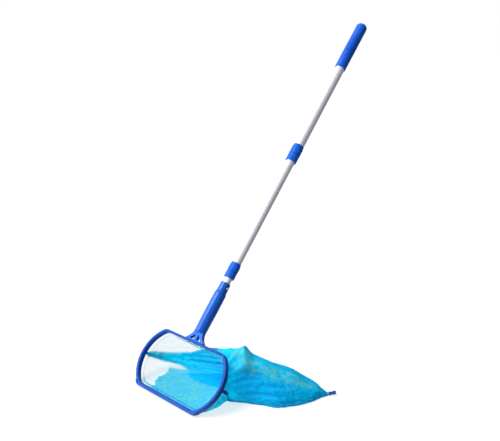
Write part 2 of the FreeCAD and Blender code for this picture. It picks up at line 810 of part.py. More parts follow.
def mouth_points(line, back, count):
    """Points evenly turned round a line that follows the hoop's outline, as the hoop leans."""
    at_bars, at_sides = (worth(inset) for inset in line)
    half = worth(HALF_HEIGHT)
    centre = worth(SIDE_CENTRE)
    bow = worth(SIDE_RADIUS) - at_sides
    place = floor_frame()
    points = []
    for step in range(count):
        angle = 2 * math.pi * step / count
        across, up = math.cos(angle), math.sin(angle)
        to_side = centre * abs(across) + math.sqrt(bow ** 2 - (centre * up) ** 2)
        to_bar = (half - at_bars) / max(abs(up), 1e-9)
        reach = min(to_side, to_bar)
        points.append(place.multVec(FreeCAD.Vector(reach * across, back, half + reach * up)))
    return points


# How the bag lies: distance from the hoop along its heading, the half-widths to its near and
# far side, its height and how far its ridge lies to the near side of the middle.
BAG_STATIONS = (
    (150.0, 50.0, 95.0, 118.0, -15.0),
    (215.0, 60.0, 95.0, 92.0, -21.0),
    (265.0, 70.0, 85.0, 68.0, -22.0),
    (310.0, 57.0, 66.0, 50.0, -20.0),
    (356.0, 36.0, 42.0, 30.0, -15.0),
)
BAG_TAIL = (14.0, 14.0, 9.0, -2.0)


def across_bag(station, inset, count):
    """Points round one tent-shaped section of the bag, lying on the floor."""
    along, near, far, height, ridge = station
    heading = math.radians(worth("sizes.bag_heading"))
    ahead = FreeCAD.Vector(math.cos(heading), math.sin(heading), 0)
    side = FreeCAD.Vector(math.sin(heading), -math.cos(heading), 0)
    hoop_foot = floor_frame().multVec(FreeCAD.Vector(0, 0, worth(TOP) / 2))
    hoop_foot.z = worth("sizes.bag_off_floor") + inset
    points = []
    for step in range(count):
        angle = 2 * math.pi * step / count
        turn = math.cos(angle)
        edge = near - inset if turn > 0 else far - inset + ridge
        reach = ridge + (edge - ridge) * turn if turn > 0 else ridge + edge * turn
        lift = max(math.sin(angle), 0.0) ** 1.3
        rise = FreeCAD.Vector(0, 0, (height - 2 * inset) * lift)
        points.append(hoop_foot + ahead * along + side * reach + rise)
    return points


def bag_sections(inset, mouth_back):
    """The rings of points that the bag's skin runs through, from its mouth to its tail."""
    count = int(worth("sizes.bag_around"))
    mouth = further_in(further_in(CHANNEL, "sizes.bag_hem_inset"), inset)
    stations = [*BAG_STATIONS, (worth("sizes.bag_length") - inset * 2, *BAG_TAIL)]
    rings = [mouth_points(mouth, mouth_back, count)]
    rings += [across_bag(station, inset, count) for station in stations]
    return rings


def loft_through(rings):
    """A solid with flat sides through closed rings of points."""
    wires = [Part.makePolygon([*ring, ring[0]]) for ring in rings]
    return Part.makeLoft(wires, True, True)


def placed_feature(label, shape):
    """A document object that holds a shape."""
    feature = doc.addObject("Part::Feature", label)
    feature.Label = label
    feature.Shape = shape
    return feature


def net_bag():
    """The bag as a thin closed skin with an open mouth behind the hoop."""
    back = worth("sizes.hoop_depth / 2 + sizes.bag_hem_depth + sizes.bag_mouth_gap")
    skin = loft_through(bag_sections(0.0, back))
    hollow = loft_through(bag_sections(worth("sizes.bag_wall"), back - 1.0))
    return placed_feature("net_bag", skin.cut(hollow))


def seam_binding(label, index, above):
    """A flat strip along one of the bag's sides, from its mouth to its tail. It lies on the skin
    between the line of points at index and the line above it."""
    back = worth("sizes.hoop_depth / 2 + sizes.bag_hem_depth + sizes.bag_mouth_gap")
    gap = worth("sizes.seam_gap")
    far = gap + worth("sizes.seam_thick")
    width = worth("sizes.seam_width")
    rings = bag_sections(0.0, back)
    strips = []
    for ring in rings:
        spot = ring[index]
        up = (ring[above] - spot).normalize()
        across = spot - ring[(index + len(ring) // 2) % len(ring)]
        out = (across - up * across.dot(up)).normalize()
        strips.append([spot + out * gap, spot + out * far, spot + out * far + up * width,
                       spot + out * gap + up * width])
    return placed_feature(label, loft_through(strips).cut(loft_through(rings)))


def tail_tab():
    """The folded tab sewn to the bag's tail."""
    heading = math.radians(worth("sizes.bag_heading"))
    start = floor_frame().multVec(FreeCAD.Vector(0, 0, worth(TOP) / 2))
    ahead = FreeCAD.Vector(math.cos(heading), math.sin(heading), 0)
    side = FreeCAD.Vector(math.sin(heading), -math.cos(heading), 0)
    near = start + ahead * worth("sizes.bag_length + sizes.tab_gap") + side * worth("sizes.tab_width / 2")
    near.z = worth("sizes.bag_off_floor")
    tab = doc.addObject("Part::Box", "tail_tab")
    tab.Label = "tail_tab"
    tab.setExpression("Length", "sizes.tab_length")
    tab.setExpression("Width", "sizes.tab_width")
    tab.setExpression("Height", "sizes.tab_thick")
    turn = FreeCAD.Rotation(FreeCAD.Vector(0, 0, 1), math.degrees(heading))
    tab.Placement = FreeCAD.Placement(near, turn)
    return tab


leaned = [
    inner_tube(),
    make_tube("mid_tube", MID_RADIUS, MID_FOOT, MID_HEAD),
    make_tube("outer_tube", OUTER_RADIUS, OUTER_FOOT, GRIP_TOP),
    make_bush("inner_guide_bush", INNER_RADIUS, MID_RADIUS, INNER_HEAD),
    make_bush("mid_guide_bush", MID_RADIUS, OUTER_RADIUS, MID_HEAD),
    *make_lock("mid", MID_LOCK, MID_LOCK_RADIUS, MID_RADIUS, INNER_RADIUS,
               "sizes.mid_nut", "sizes.mid_ribbed", "sizes.mid_cone"),
    *make_lock("outer", OUTER_LOCK, OUTER_LOCK_RADIUS, OUTER_RADIUS, MID_RADIUS,
               "sizes.outer_nut", "sizes.outer_ribbed", "sizes.outer_cone"),
    handle_grip(),
    grip_end_cap(),
    hoop_frame(),
    net_retaining_ring(),
    bag_hem(),
    front_lip_strip(),
    head_socket(),
    socket_screws(),
    clip_spring(),
    clip_button("clip_button_left", "-"),
    clip_button("clip_button_right", ""),
]
place = floor_frame()
for piece in leaned:
    piece.Placement = place

opposite = int(worth("sizes.bag_around")) // 2
pieces = leaned + [
    net_bag(),
    seam_binding("right_seam_binding", 0, 1),
    seam_binding("left_seam_binding", opposite, opposite - 1),
    tail_tab(),
]

doc.recompute()
for item in doc.Objects:
    if "Invalid" in item.State or "Error" in item.State:
        raise ValueError(f"{item.Label} failed to build: {item.State}")
for piece in pieces:
    if piece.Shape.isNull() or not piece.Shape.isValid():
        raise ValueError(f"{piece.Label} has no valid shape")
    print(piece.Label, len(piece.Shape.Solids), round(piece.Shape.Volume / 1000, 2), "cm3")

os.makedirs("parts", exist_ok=True)
for piece in pieces:
    piece.Shape.exportStep(os.path.join("parts", f"{piece.Label}.step"))
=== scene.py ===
import json
import logging
import math
from collections.abc import Callable, Iterator, Sequence
from contextlib import contextmanager
from dataclasses import dataclass, field
from enum import Enum
from typing import ClassVar

import bmesh
import bpy
import numpy as np
from mathutils import Matrix, Vector, noise


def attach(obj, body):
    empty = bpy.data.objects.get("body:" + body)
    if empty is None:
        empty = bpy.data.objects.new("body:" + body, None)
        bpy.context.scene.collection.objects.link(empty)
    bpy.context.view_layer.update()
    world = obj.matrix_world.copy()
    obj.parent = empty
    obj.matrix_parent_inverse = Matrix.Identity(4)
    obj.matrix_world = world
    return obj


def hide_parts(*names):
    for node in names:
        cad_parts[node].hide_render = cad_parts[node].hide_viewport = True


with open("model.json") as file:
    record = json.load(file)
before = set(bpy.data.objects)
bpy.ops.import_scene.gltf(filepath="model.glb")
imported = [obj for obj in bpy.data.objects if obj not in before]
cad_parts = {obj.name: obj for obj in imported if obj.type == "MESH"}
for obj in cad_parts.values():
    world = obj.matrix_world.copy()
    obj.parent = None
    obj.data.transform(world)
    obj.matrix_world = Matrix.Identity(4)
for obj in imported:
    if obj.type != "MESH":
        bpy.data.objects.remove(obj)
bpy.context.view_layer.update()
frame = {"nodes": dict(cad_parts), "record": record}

LOG = logging.getLogger("leaf_skimmer")
MM = 0.001

Colour = tuple[float, float, float]
Socket = bpy.types.NodeSocket


class Slot(Enum):
    """The record's material slots that match the new pieces' finishes."""

    MOULDED = "moulded_blue"
    NET = "net_cyan"
    BINDING = "binding_cyan"
    TAB = "tab_blue"
    STEEL = "steel"


# Places


@dataclass(frozen=True)
class HeadAxes:
    """The head's own axes as it leans: across the hoop, back through its depth and up the pole.

    The base is the middle of the lower bar's underside, at the hoop's mid-depth.
    """

    across: Vector
    back: Vector
    up: Vector
    base: Vector
    height: float

    @classmethod
    def from_frame(cls) -> "HeadAxes":
        """Read the axes from the hand grip's mount and the hoop's own corners.

        Returns:
            The head's axes in the row frame.
        """
        grip = next(mount for mount in frame["record"]["mounts"] if mount["name"] == "hand_grip")
        up = Vector(grip["axis"]).normalized()
        across = Vector((1.0, 0.0, 0.0))
        on_pole = Vector(grip["pos_m"])
        along = [(vertex.co - on_pole).dot(up) for vertex in frame["nodes"]["hoop_frame"].data.vertices]
        base = on_pole + up * min(along)
        return cls(across, up.cross(across), up, base, max(along) - min(along))

    def point(self, across: float, back: float, up: float) -> Vector:
        """The point in the row frame at a place given along the head's own axes."""
        return self.base + self.across * across + self.back * back + self.up * up

    @property
    def lean(self) -> float:
        """How far the pole leans back from upright, in radians."""
        return math.atan2(self.up.y, self.up.z)

    @property
    def turn(self) -> Matrix:
        """The turn from the head's own axes to the row frame."""
        return Matrix((self.across, self.back, self.up)).transposed().to_4x4()


HEAD = HeadAxes.from_frame()


@dataclass(frozen=True)
class HoopOutline:
    """The barrel outline of the hoop: two straight bars and two bulging sides.

    Attributes:
        bar_half: half the length of a bar between the sides' ends.
        side_bulge: how far a side bulges past the bars' ends.
        sharpness: how tightly the four corners are turned.
    """

    height: float = HEAD.height
    bar_half: float = 111.0 * MM
    side_bulge: float = 42.7 * MM
    sharpness: float = 22.0

    def reach(self, angle: float, at_bars: float, at_sides: float) -> float:
        """Distance from the hoop's middle to a line inside its outline.

        Args:
            angle: the way out from the middle, 0 towards the right side and a quarter turn up.
            at_bars: how far inside the outline the line runs at the two bars.
            at_sides: how far inside it runs at the two sides.

        Returns:
            The distance in metres.
        """
        half = self.height / 2
        radius = (half ** 2 + self.side_bulge ** 2) / (2 * self.side_bulge)
        centre = self.bar_half + self.side_bulge - radius
        bow = radius - at_sides
        across, up = abs(math.cos(angle)), abs(math.sin(angle))
        to_side = centre * across + math.sqrt(bow ** 2 - (centre * up) ** 2)
        to_bar = (half - at_bars) / max(up, 1e-6)
        return (to_side ** -self.sharpness + to_bar ** -self.sharpness) ** (-1 / self.sharpness)

    def point(self, angle: float, at_bars: float, at_sides: float, back: float) -> Vector:
        """The point of that line in the row frame, at a depth behind the hoop's middle."""
        reach = self.reach(angle, at_bars, at_sides)
        return HEAD.point(reach * math.cos(angle), back, self.height / 2 + reach * math.sin(angle))


OUTLINE = HoopOutline()


# Bench work


def deselect_all() -> None:
    """Leave nothing selected."""
    if bpy.context.object and bpy.context.object.mode != "OBJECT":
        bpy.ops.object.mode_set(mode="OBJECT")
    bpy.ops.object.select_all(action="DESELECT")


def take(piece: bpy.types.Object) -> None:
    """Make a piece the only selected one, and the active one."""
    deselect_all()
    piece.select_set(True)
    bpy.context.view_layer.objects.active = piece


@contextmanager
def editing(piece: bpy.types.Object, mode: str = "FACE") -> Iterator[bmesh.types.BMesh]:
    """Work on a piece in edit mode, with nothing selected to begin with.

    Args:
        piece: the mesh object to edit.
        mode: what is selected, VERT, EDGE or FACE.

    Yields:
        The piece's editable mesh.
    """
    take(piece)
    bpy.ops.object.mode_set(mode="EDIT")
    bpy.ops.mesh.select_mode(type=mode)
    bpy.ops.mesh.select_all(action="DESELECT")
    yield bmesh.from_edit_mesh(piece.data)
    bpy.ops.object.mode_set(mode="OBJECT")


def select_faces(piece: bpy.types.Object, wanted: Callable[[bmesh.types.BMFace], bool]) -> None:
    """Select the faces of a piece in edit mode that wanted picks out."""
    mesh = bmesh.from_edit_mesh(piece.data)
    for face in mesh.faces:
        face.select_set(wanted(face))
    mesh.select_flush_mode()
    bmesh.update_edit_mesh(piece.data)


def finish_with(piece: bpy.types.Object, kind: str, **settings: object) -> None:
    """Give a piece a modifier and apply it.

    Args:
        piece: the mesh object.
        kind: the modifier's type.
        **settings: its values.
    """
    modifier = piece.modifiers.new(kind.lower(), kind)
    for name, value in settings.items():
        setattr(modifier, name, value)
    take(piece)
    bpy.ops.object.modifier_apply(modifier=modifier.name)


def smooth(piece: bpy.types.Object, degrees: float) -> None:
    """Shade a piece smooth, except over edges that are sharper than an angle."""
    take(piece)
    bpy.ops.object.shade_smooth_by_angle(angle=math.radians(degrees))


def face_outwards(piece: bpy.types.Object) -> None:
    """Turn every face of a piece outwards."""
    with editing(piece):
        bpy.ops.mesh.select_all(action="SELECT")
        bpy.ops.mesh.normals_make_consistent(inside=False)


def round_edges(piece: bpy.types.Object, width: float, segments: int, over: float, sharp: float) -> None:
    """Bevel the edges of a piece and shade it smooth.

    Args:
        piece: the object.
        width: the bevel's width.
        segments: steps across it.
        over: the least angle of an edge that is bevelled, in degrees.
        sharp: the least angle of an edge that stays sharp in the shading, in degrees.
    """
    finish_with(piece, "BEVEL", width=width, segments=segments, limit_method="ANGLE",
                angle_limit=math.radians(over))
    smooth(piece, sharp)


def join(pieces: Sequence[bpy.types.Object], name: str) -> bpy.types.Object:
    """Join pieces into one object.

    Args:
        pieces: the objects, of which the first takes the rest.
        name: the joined object's name.

    Returns:
        The joined object.
    """
    deselect_all()
    for piece in pieces:
        piece.select_set(True)
    bpy.context.view_layer.objects.active = pieces[0]
    bpy.ops.object.join()
    pieces[0].name = name
    pieces[0].data.name = name
    return pieces[0]


def settle(piece: bpy.types.Object, place: Matrix) -> None:
    """Move a piece's mesh to its place and leave the object at the origin."""
    piece.data.transform(place @ piece.matrix_basis)
    piece.matrix_basis = Matrix.Identity(4)
    piece.data.update()


def mesh_of(name: str, points: np.ndarray, faces: list[tuple[int, ...]]) -> bpy.types.Object:
    """A new mesh object from points and faces.

    Args:
        name: the object's name.
        points: one row of coordinates for each vertex.
        faces: vertex numbers of each face.

    Returns:
        The linked object.
    """
    mesh = bpy.data.meshes.new(name)
    mesh.from_pydata([tuple(point) for point in points], [], faces)
    mesh.update()
    piece = bpy.data.objects.new(name, mesh)
    bpy.context.scene.collection.objects.link(piece)
    return piece


def grid_faces(rows: int, columns: int, closed: bool) -> list[tuple[int, ...]]:
    """Quads of a grid of points stored row by row.

    Args:
        rows: the number of rows.
        columns: points in a row.
        closed: whether each row runs round to its own start.

    Returns:
        The faces, turned outwards where rows run anticlockwise seen from the last row.
    """
    steps = columns if closed else columns - 1
    faces = []
    for row in range(rows - 1):
        for column in range(steps):
            following = (column + 1) % columns
            start = row * columns
            faces.append((start + column, start + following,
                          start + columns + following, start + columns + column))
    return faces


def travelled(line: np.ndarray) -> np.ndarray:
    """How far along a line each of its points lies."""
    return np.concatenate([[0.0], np.cumsum(np.linalg.norm(np.diff(line, axis=0), axis=1))])


def gaps_between(rings: np.ndarray) -> np.ndarray:
    """The mean distance from each ring of points to the next."""
    return np.linalg.norm(np.diff(rings, axis=0), axis=2).mean(axis=1)


def read_along(wanted: np.ndarray | float, steps: np.ndarray, values: np.ndarray) -> np.ndarray:
    """Vectors at wanted distances along a line, between those known at its steps."""
    return np.stack([np.interp(wanted, steps, values[:, axis]) for axis in range(3)], axis=-1)


def aim(thing: bpy.types.Object, toward: Vector) -> None:
    """Link a lamp or a camera and turn it so that it looks back along a direction."""
    thing.rotation_mode = "QUATERNION"
    thing.rotation_quaternion = (-toward).to_track_quat("-Z", "Y")
    bpy.context.scene.collection.objects.link(thing)


def put_on(piece: bpy.types.Object, material: bpy.types.Material, slot: Slot,
           *replaced: str, body: str = "head") -> bpy.types.Object:
    """Dress a new piece, attach it to the body that carries it, and hide the CAD nodes that it stands for.

    Args:
        piece: the new object.
        material: its finish.
        slot: the record's slot of that finish; not used.
        *replaced: CAD nodes that it stands for.
        body: the body that carries it.

    Returns:
        The same object.
    """
    piece.data.materials.clear()
    piece.data.materials.append(material)
    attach(piece, body)
    if replaced:
        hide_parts(*replaced)
    LOG.info("%s: %d faces", piece.name, len(piece.data.polygons))
    return piece


# Finishes


def add_node(tree: bpy.types.NodeTree, kind: str, inputs: dict[str | int, object],
             **settings: object) -> bpy.types.Node:
    """Add a node to a tree.

    Args:
        tree: the material's or the world's nodes.
        kind: its type, without the ShaderNode in front.
        inputs: a value or a socket to link for each input.
        **settings: the node's own properties.

    Returns:
        The node.
    """
    node = tree.nodes.new(f"ShaderNode{kind}")
    for name, value in settings.items():
        setattr(node, name, value)
    for name, value in inputs.items():
        if isinstance(value, bpy.types.NodeSocket):
            tree.links.new(value, node.inputs[name])
        else:
            node.inputs[name].default_value = value
    return node


class Shader:
    """A node material in the making, round one Principled shader."""

    def __init__(self, name: str) -> None:
        """Start a material of that name."""
        self.material = bpy.data.materials.new(name)
        self.material.use_nodes = True
        self.tree = self.material.node_tree
        self.surface = self.tree.nodes["Principled BSDF"]
        places = self.tree.nodes.new("ShaderNodeTexCoord")
        self.whole, self.cloth = places.outputs["Object"], places.outputs["UV"]

    def set(self, values: dict[str, object]) -> None:
        """Set plain values on the Principled shader's own sockets."""
        for name, value in values.items():
            self.surface.inputs[name].default_value = value

    def node(self, kind: str, inputs: dict[str | int, object], **settings: object) -> bpy.types.Node:
        """Add a node to the material, as add_node does."""
        return add_node(self.tree, kind, inputs, **settings)

    def drive(self, name: str, value: Socket) -> None:
        """Drive a socket of the Principled shader."""
        self.tree.links.new(value, self.surface.inputs[name])

    def math(self, operation: str, *values: Socket | float, clamp: bool = False) -> Socket:
        """The result of an arithmetic node."""
        inputs = dict(enumerate(values))
        return self.node("Math", inputs, operation=operation, use_clamp=clamp).outputs[0]

    def weigh(self, first: Socket, share: float, second: Socket, other_share: float) -> Socket:
        """The sum of two values, each times its share."""
        first, second = self.math("MULTIPLY", first, share), self.math("MULTIPLY", second, other_share)
        return self.math("ADD", first, second)

    def attribute(self, name: str) -> Socket:
        """A number stored on the piece's points."""
        return self.node("Attribute", {}, attribute_name=name).outputs["Fac"]

    def spread(self, value: Socket, low: float, high: float, start: float = 0.0, end: float = 1.0) -> Socket:
        """Map a value from low..high to start..end, smoothly and kept between them."""
        inputs = {"Value": value, "From Min": low, "From Max": high, "To Min": start, "To Max": end}
        return self.node("MapRange", inputs, interpolation_type="SMOOTHSTEP").outputs["Result"]

    def mix(self, factor: Socket | float, first: Socket | Colour, second: Socket | Colour) -> Socket:
        """Mix two colours."""
        colours = {index: value if isinstance(value, bpy.types.NodeSocket) else (*value, 1.0)
                   for index, value in ((6, first), (7, second))}
        return self.node("Mix", {0: factor, **colours}, data_type="RGBA").outputs[2]

    def along(self, scale: Sequence[float], turn: Sequence[float] = (0.0, 0.0, 0.0),
              source: Socket | None = None) -> Socket:
        """Object coordinates, or another vector, turned and then scaled by axis."""
        turned = self.node("Mapping", {"Vector": source or self.whole, "Rotation": tuple(turn)})
        inputs = {"Vector": turned.outputs["Vector"], "Scale": tuple(scale)}
        return self.node("Mapping", inputs).outputs["Vector"]

    def up_the_pole(self, scale: Sequence[float]) -> Socket:
        """Object coordinates scaled by axis, with Z along the pole."""
        return self.along(scale, (HEAD.lean, 0, 0))

    def noise(self, vector: Socket, scale: float, detail: float = 3.0, rough: float = 0.5) -> Socket:
        """A noise value."""
        inputs = {"Vector": vector, "Scale": scale, "Detail": detail, "Roughness": rough}
        return self.node("TexNoise", inputs).outputs["Fac"]

    def bump(self, height: Socket, strength: float, distance: float, normal: Socket | None = None) -> Socket:
        """A bumped normal."""
        inputs = {"Height": height, "Strength": strength, "Distance": distance}
        if normal:
            inputs["Normal"] = normal
        return self.node("Bump", inputs).outputs["Normal"]

    def edges(self, radius: float) -> Socket:
        """How near a spot is to an edge, from 0 to 1, by what a bevel would turn the surface there."""
        rounded = self.node("Bevel", {"Radius": radius}, samples=4).outputs["Normal"]
        plain = self.node("NewGeometry", {}).outputs["Normal"]
        turned = self.node("VectorMath", {0: rounded, 1: plain}, operation="DOT_PRODUCT").outputs["Value"]
        return self.spread(self.math("SUBTRACT", 1.0, turned), 0.02, 0.3)


@dataclass(frozen=True)
class MouldedPlastic:
    """Injection-moulded plastic: a slight swirl of colour, fine moulding texture and rubbed edges."""

    name: str
    colour: Colour
    deep: Colour
    rubbed: Colour
    roughness: float = 0.34
    shine: float = 0.5
    wear: float = 0.5

    def build(self) -> bpy.types.Material:
        """Make the material."""
        shader = Shader(self.name)
        shader.set({"Specular IOR Level": self.shine, "Specular Tint": (0.28, 0.6, 1.0, 1.0)})
        swirl = shader.spread(shader.noise(shader.up_the_pole((1.0, 1.0, 0.45)), 26.0), 0.3, 0.72)
        body = shader.mix(swirl, self.deep, self.colour)
        grime = shader.spread(shader.noise(shader.whole, 160.0, 4.0, 0.6), 0.35, 0.75)
        rim = shader.math("MULTIPLY", shader.edges(0.9 * MM), grime)
        body = shader.mix(shader.math("MULTIPLY", rim, self.wear), body, self.rubbed)
        shader.drive("Base Color", body)
        fine = shader.noise(shader.whole, 1900.0, 2.0)
        scuffs = shader.noise(shader.along((14.0, 14.0, 260.0), (HEAD.lean, 0.3, 0)), 5.0, 5.0, 0.65)
        gloss = shader.spread(scuffs, 0.45, 0.8, self.roughness, self.roughness + 0.2)
        shader.drive("Roughness", gloss)
        shader.drive("Normal", shader.bump(fine, 0.22, 0.08 * MM))
        return shader.material


@dataclass(frozen=True)
class SoftGripRubber:
    """Satin grip material with a pebbled skin that hands have rubbed a little lighter."""

    name: str = "soft_grip_rubber"
    colour: Colour = (0.008, 0.13, 0.74)
    deep: Colour = (0.005, 0.09, 0.6)
    handled: Colour = (0.02, 0.19, 0.8)

    def build(self) -> bpy.types.Material:
        """Make the material."""
        shader = Shader(self.name)
        shader.set({"Specular IOR Level": 0.35, "Specular Tint": (0.35, 0.65, 1.0, 1.0)})
        cloud = shader.spread(shader.noise(shader.up_the_pole((1.0, 1.0, 0.3)), 38.0, 4.0), 0.32, 0.7)
        pebbles = shader.node("TexVoronoi", {"Vector": shader.whole, "Scale": 950.0}).outputs["Distance"]
        body = shader.mix(cloud, self.deep, self.colour)
        body = shader.mix(shader.math("MULTIPLY", shader.edges(0.7 * MM), 0.5), body, self.handled)
        shader.drive("Base Color", body)
        shader.drive("Roughness", shader.spread(cloud, 0.0, 1.0, 0.5, 0.38))
        shader.drive("Normal", shader.bump(pebbles, 0.3, 0.12 * MM))
        return shader.material


@dataclass(frozen=True)
class DrawnAluminium:
    """Drawn and anodised tube: fine lines along the pole and faint rings where sections slide."""

    name: str = "drawn_aluminium"
    colour: Colour = (0.8, 0.79, 0.85)
    dull: Colour = (0.72, 0.71, 0.77)

    def build(self) -> bpy.types.Material:
        """Make the material."""
        shader = Shader(self.name)
        shader.set({"Metallic": 0.55, "Specular IOR Level": 0.3, "Anisotropic": 0.2})
        lines = shader.noise(shader.up_the_pole((1500.0, 1500.0, 5.0)), 1.0, 4.0, 0.6)
        bands = shader.noise(shader.up_the_pole((3.0, 3.0, 70.0)), 1.0, 5.0, 0.55)
        faint = shader.weigh(lines, 0.55, bands, 0.45)
        shader.drive("Base Color", shader.mix(shader.spread(faint, 0.35, 0.66), self.dull, self.colour))
        shader.drive("Roughness", shader.spread(faint, 0.32, 0.68, 0.56, 0.46))
        shader.drive("Normal", shader.bump(lines, 0.12, 0.03 * MM))
        return shader.material


@dataclass(frozen=True)
class Nylon:
    """Natural nylon with a slightly waxy, uneven white."""

    name: str = "natural_nylon"
    colour: Colour = (0.86, 0.85, 0.8)
    deep: Colour = (0.74, 0.73, 0.66)

    def build(self) -> bpy.types.Material:
        """Make the material."""
        shader = Shader(self.name)
        shader.set({"Specular IOR Level": 0.45})
        cloud = shader.spread(shader.noise(shader.whole, 90.0, 4.0), 0.3, 0.7)
        shader.drive("Base Color", shader.mix(cloud, self.deep, self.colour))
        shader.drive("Roughness", shader.spread(cloud, 0.0, 1.0, 0.52, 0.4))
        shader.drive("Normal", shader.bump(shader.noise(shader.whole, 1400.0, 2.0), 0.15, 0.06 * MM))
        return shader.material


@dataclass(frozen=True)
class Steel:
    """Stainless steel with fine lines, brighter where it rubs."""

    name: str
    colour: Colour = (0.66, 0.66, 0.67)
    dull: Colour = (0.42, 0.42, 0.44)
    roughness: float = 0.3

    def build(self) -> bpy.types.Material:
        """Make the material."""
        shader = Shader(self.name)
        shader.set({"Metallic": 1.0})
        lines = shader.noise(shader.along((160.0, 2600.0, 2600.0)), 1.0, 3.0)
        spots = shader.spread(shader.noise(shader.whole, 420.0, 4.0, 0.6), 0.3, 0.7)
        shader.drive("Base Color", shader.mix(spots, self.dull, self.colour))
        shader.drive("Roughness", shader.spread(lines, 0.3, 0.7, self.roughness, self.roughness + 0.18))
        shader.drive("Normal", shader.bump(lines, 0.1, 0.03 * MM))
        return shader.material


@dataclass(frozen=True)
class KnitNet:
    """Fine knitted mesh. One stretched layer shows what is behind it, and gathered cloth doesn't.

    The net's UV map is in metres. Its vertex attributes say how tightly it is gathered, how pale it is,
    how its colour is darkened by painted shade or lightened by painted light, and how strong a painted glow
    it has.

    Attributes:
        pitch: from one thread to the next.
        slant: how far the threads lean from the bag's length, in radians.
        glow: light of its own that stands in for what the loose knit scatters.
    """

    name: str = "knit_net"
    # bright is the net's colour where painted light is laid on. deep is its colour where painted shade is
    # laid on, and in darker streaks.
    bright: Colour = (0.0, 0.72, 0.97)
    colour: Colour = (0.0, 0.46, 0.83)
    deep: Colour = (0.0, 0.3, 0.78)
    pale: Colour = (0.1, 0.56, 0.6)
    pitch: float = 1.7 * MM
    slant: float = math.radians(52)
    glow: float = 0.07

    def build(self) -> bpy.types.Material:
        """Make the material."""
        shader = Shader(self.name)
        shader.set({"Roughness": 0.72, "Specular IOR Level": 0.04})
        gather = shader.attribute(NetBag.GATHER)
        stretch = shader.attribute(NetBag.STRETCH)
        depth = shader.attribute(NetBag.PAINTED_SHADE_LIGHT_AND_TONE)
        through = shader.attribute(NetBag.PAINTED_GLOW)
        knots = self._threads(shader)
        streaks = shader.noise(shader.along((120.0, 14.0, 1.0), source=shader.cloth), 1.0, 4.0, 0.6)
        fine_streaks = shader.noise(shader.along((420.0, 30.0, 1.0), source=shader.cloth), 1.0, 2.0, 0.5)
        shade = shader.weigh(streaks, 0.7, fine_streaks, 0.3)
        # The stored value adds painted shade (near wall, hollows) and painted light (far wall, behind the
        # hoop) to the random streaks, and a darker tone along the net's folded edge at the bottom.
        tone = shader.math("ADD", shader.spread(shade, 0.3, 0.7, -0.22, 0.25), depth)
        light = shader.mix(shader.spread(tone, -0.9, -0.05), self.bright, self.colour)
        packed = shader.mix(shader.spread(tone, -0.05, 0.75), light, self.deep)
        slanting = shader.along((40.0, 18.0, 1.0), (0.0, 0.0, 0.35), shader.cloth)
        crumple = shader.noise(slanting, 1.0, 3.0, 0.55)
        ridge = shader.math("ABSOLUTE", shader.math("SUBTRACT", crumple, 0.5))
        vein = shader.spread(ridge, 0.0, 0.06, 1.0, 0.0)
        # Paler where the net is stretched, in ragged patches along the ridge and where it lies on the floor,
        # plus thin pale veins.
        paleness = shader.math("MULTIPLY", stretch, shader.math("ADD", shader.math("MULTIPLY", vein, 0.5), 0.7))
        thin = shader.math("ADD", paleness, shader.math("MULTIPLY", vein, 0.07), clamp=True)
        body = shader.mix(thin, packed, self.pale)
        shader.drive("Base Color", body)
        shader.drive("Emission Color", body)
        # Painted light: the stored glow lightens shaded parts of the net, on top of its even glow.
        shader.drive("Emission Strength", shader.math("ADD", through, self.glow))
        uneven = shader.math("MULTIPLY", shader.math("SUBTRACT", shade, 0.5), 0.5)
        cover = shader.math("ADD", gather, shader.math("MULTIPLY", uneven, gather))
        weave = shader.math("MULTIPLY", shader.math("SUBTRACT", knots, 0.42), 0.3)
        shader.drive("Alpha", shader.math("ADD", cover, weave, clamp=True))
        folds = shader.bump(crumple, 0.45, 3.0 * MM)
        shader.drive("Normal", shader.bump(knots, 0.3, 0.25 * MM, folds))
        return shader.material

    def _threads(self, shader: Shader) -> Socket:
        """Two sets of slanting threads that cross in diamonds, 1 on a thread and 0 in a hole."""
        masks = []
        for slant in (self.slant, -self.slant):
            turned = shader.along((1.0, 1.0, 1.0), (0.0, 0.0, slant), shader.cloth)
            across = shader.node("SeparateXYZ", {0: turned}).outputs["X"]
            wave = shader.math("PINGPONG", across, self.pitch / 2)
            masks.append(shader.spread(wave, 0.1 * self.pitch, 0.24 * self.pitch, 1.0, 0.0))
        return shader.math("MAXIMUM", *masks)


@dataclass(frozen=True)
class BindingTape:
    """Narrow woven tape, ribbed across its length."""

    name: str
    colour: Colour
    deep: Colour
    rib: float = 0.9 * MM
    roughness: float = 0.7

    def build(self) -> bpy.types.Material:
        """Make the material."""
        shader = Shader(self.name)
        shader.set({"Sheen Weight": 0.06, "Sheen Roughness": 0.4, "Specular IOR Level": 0.15})
        parts = shader.node("SeparateXYZ", {0: shader.cloth})
        ribs, cords = (shader.spread(shader.math("PINGPONG", parts.outputs[axis], half), 0.0, half)
                       for axis, half in (("Y", self.rib / 2), ("X", self.rib * 0.7)))
        weave = shader.weigh(ribs, 0.65, cords, 0.35)
        cloud = shader.noise(shader.whole, 120.0, 4.0, 0.6)
        tone = shader.weigh(weave, 0.6, cloud, 0.55)
        shader.drive("Base Color", shader.mix(shader.spread(tone, 0.25, 0.85), self.deep, self.colour))
        shader.drive("Roughness", shader.spread(cloud, 0.3, 0.7, self.roughness, self.roughness + 0.15))
        shader.drive("Normal", shader.bump(weave, 0.5, 0.2 * MM))
        return shader.material


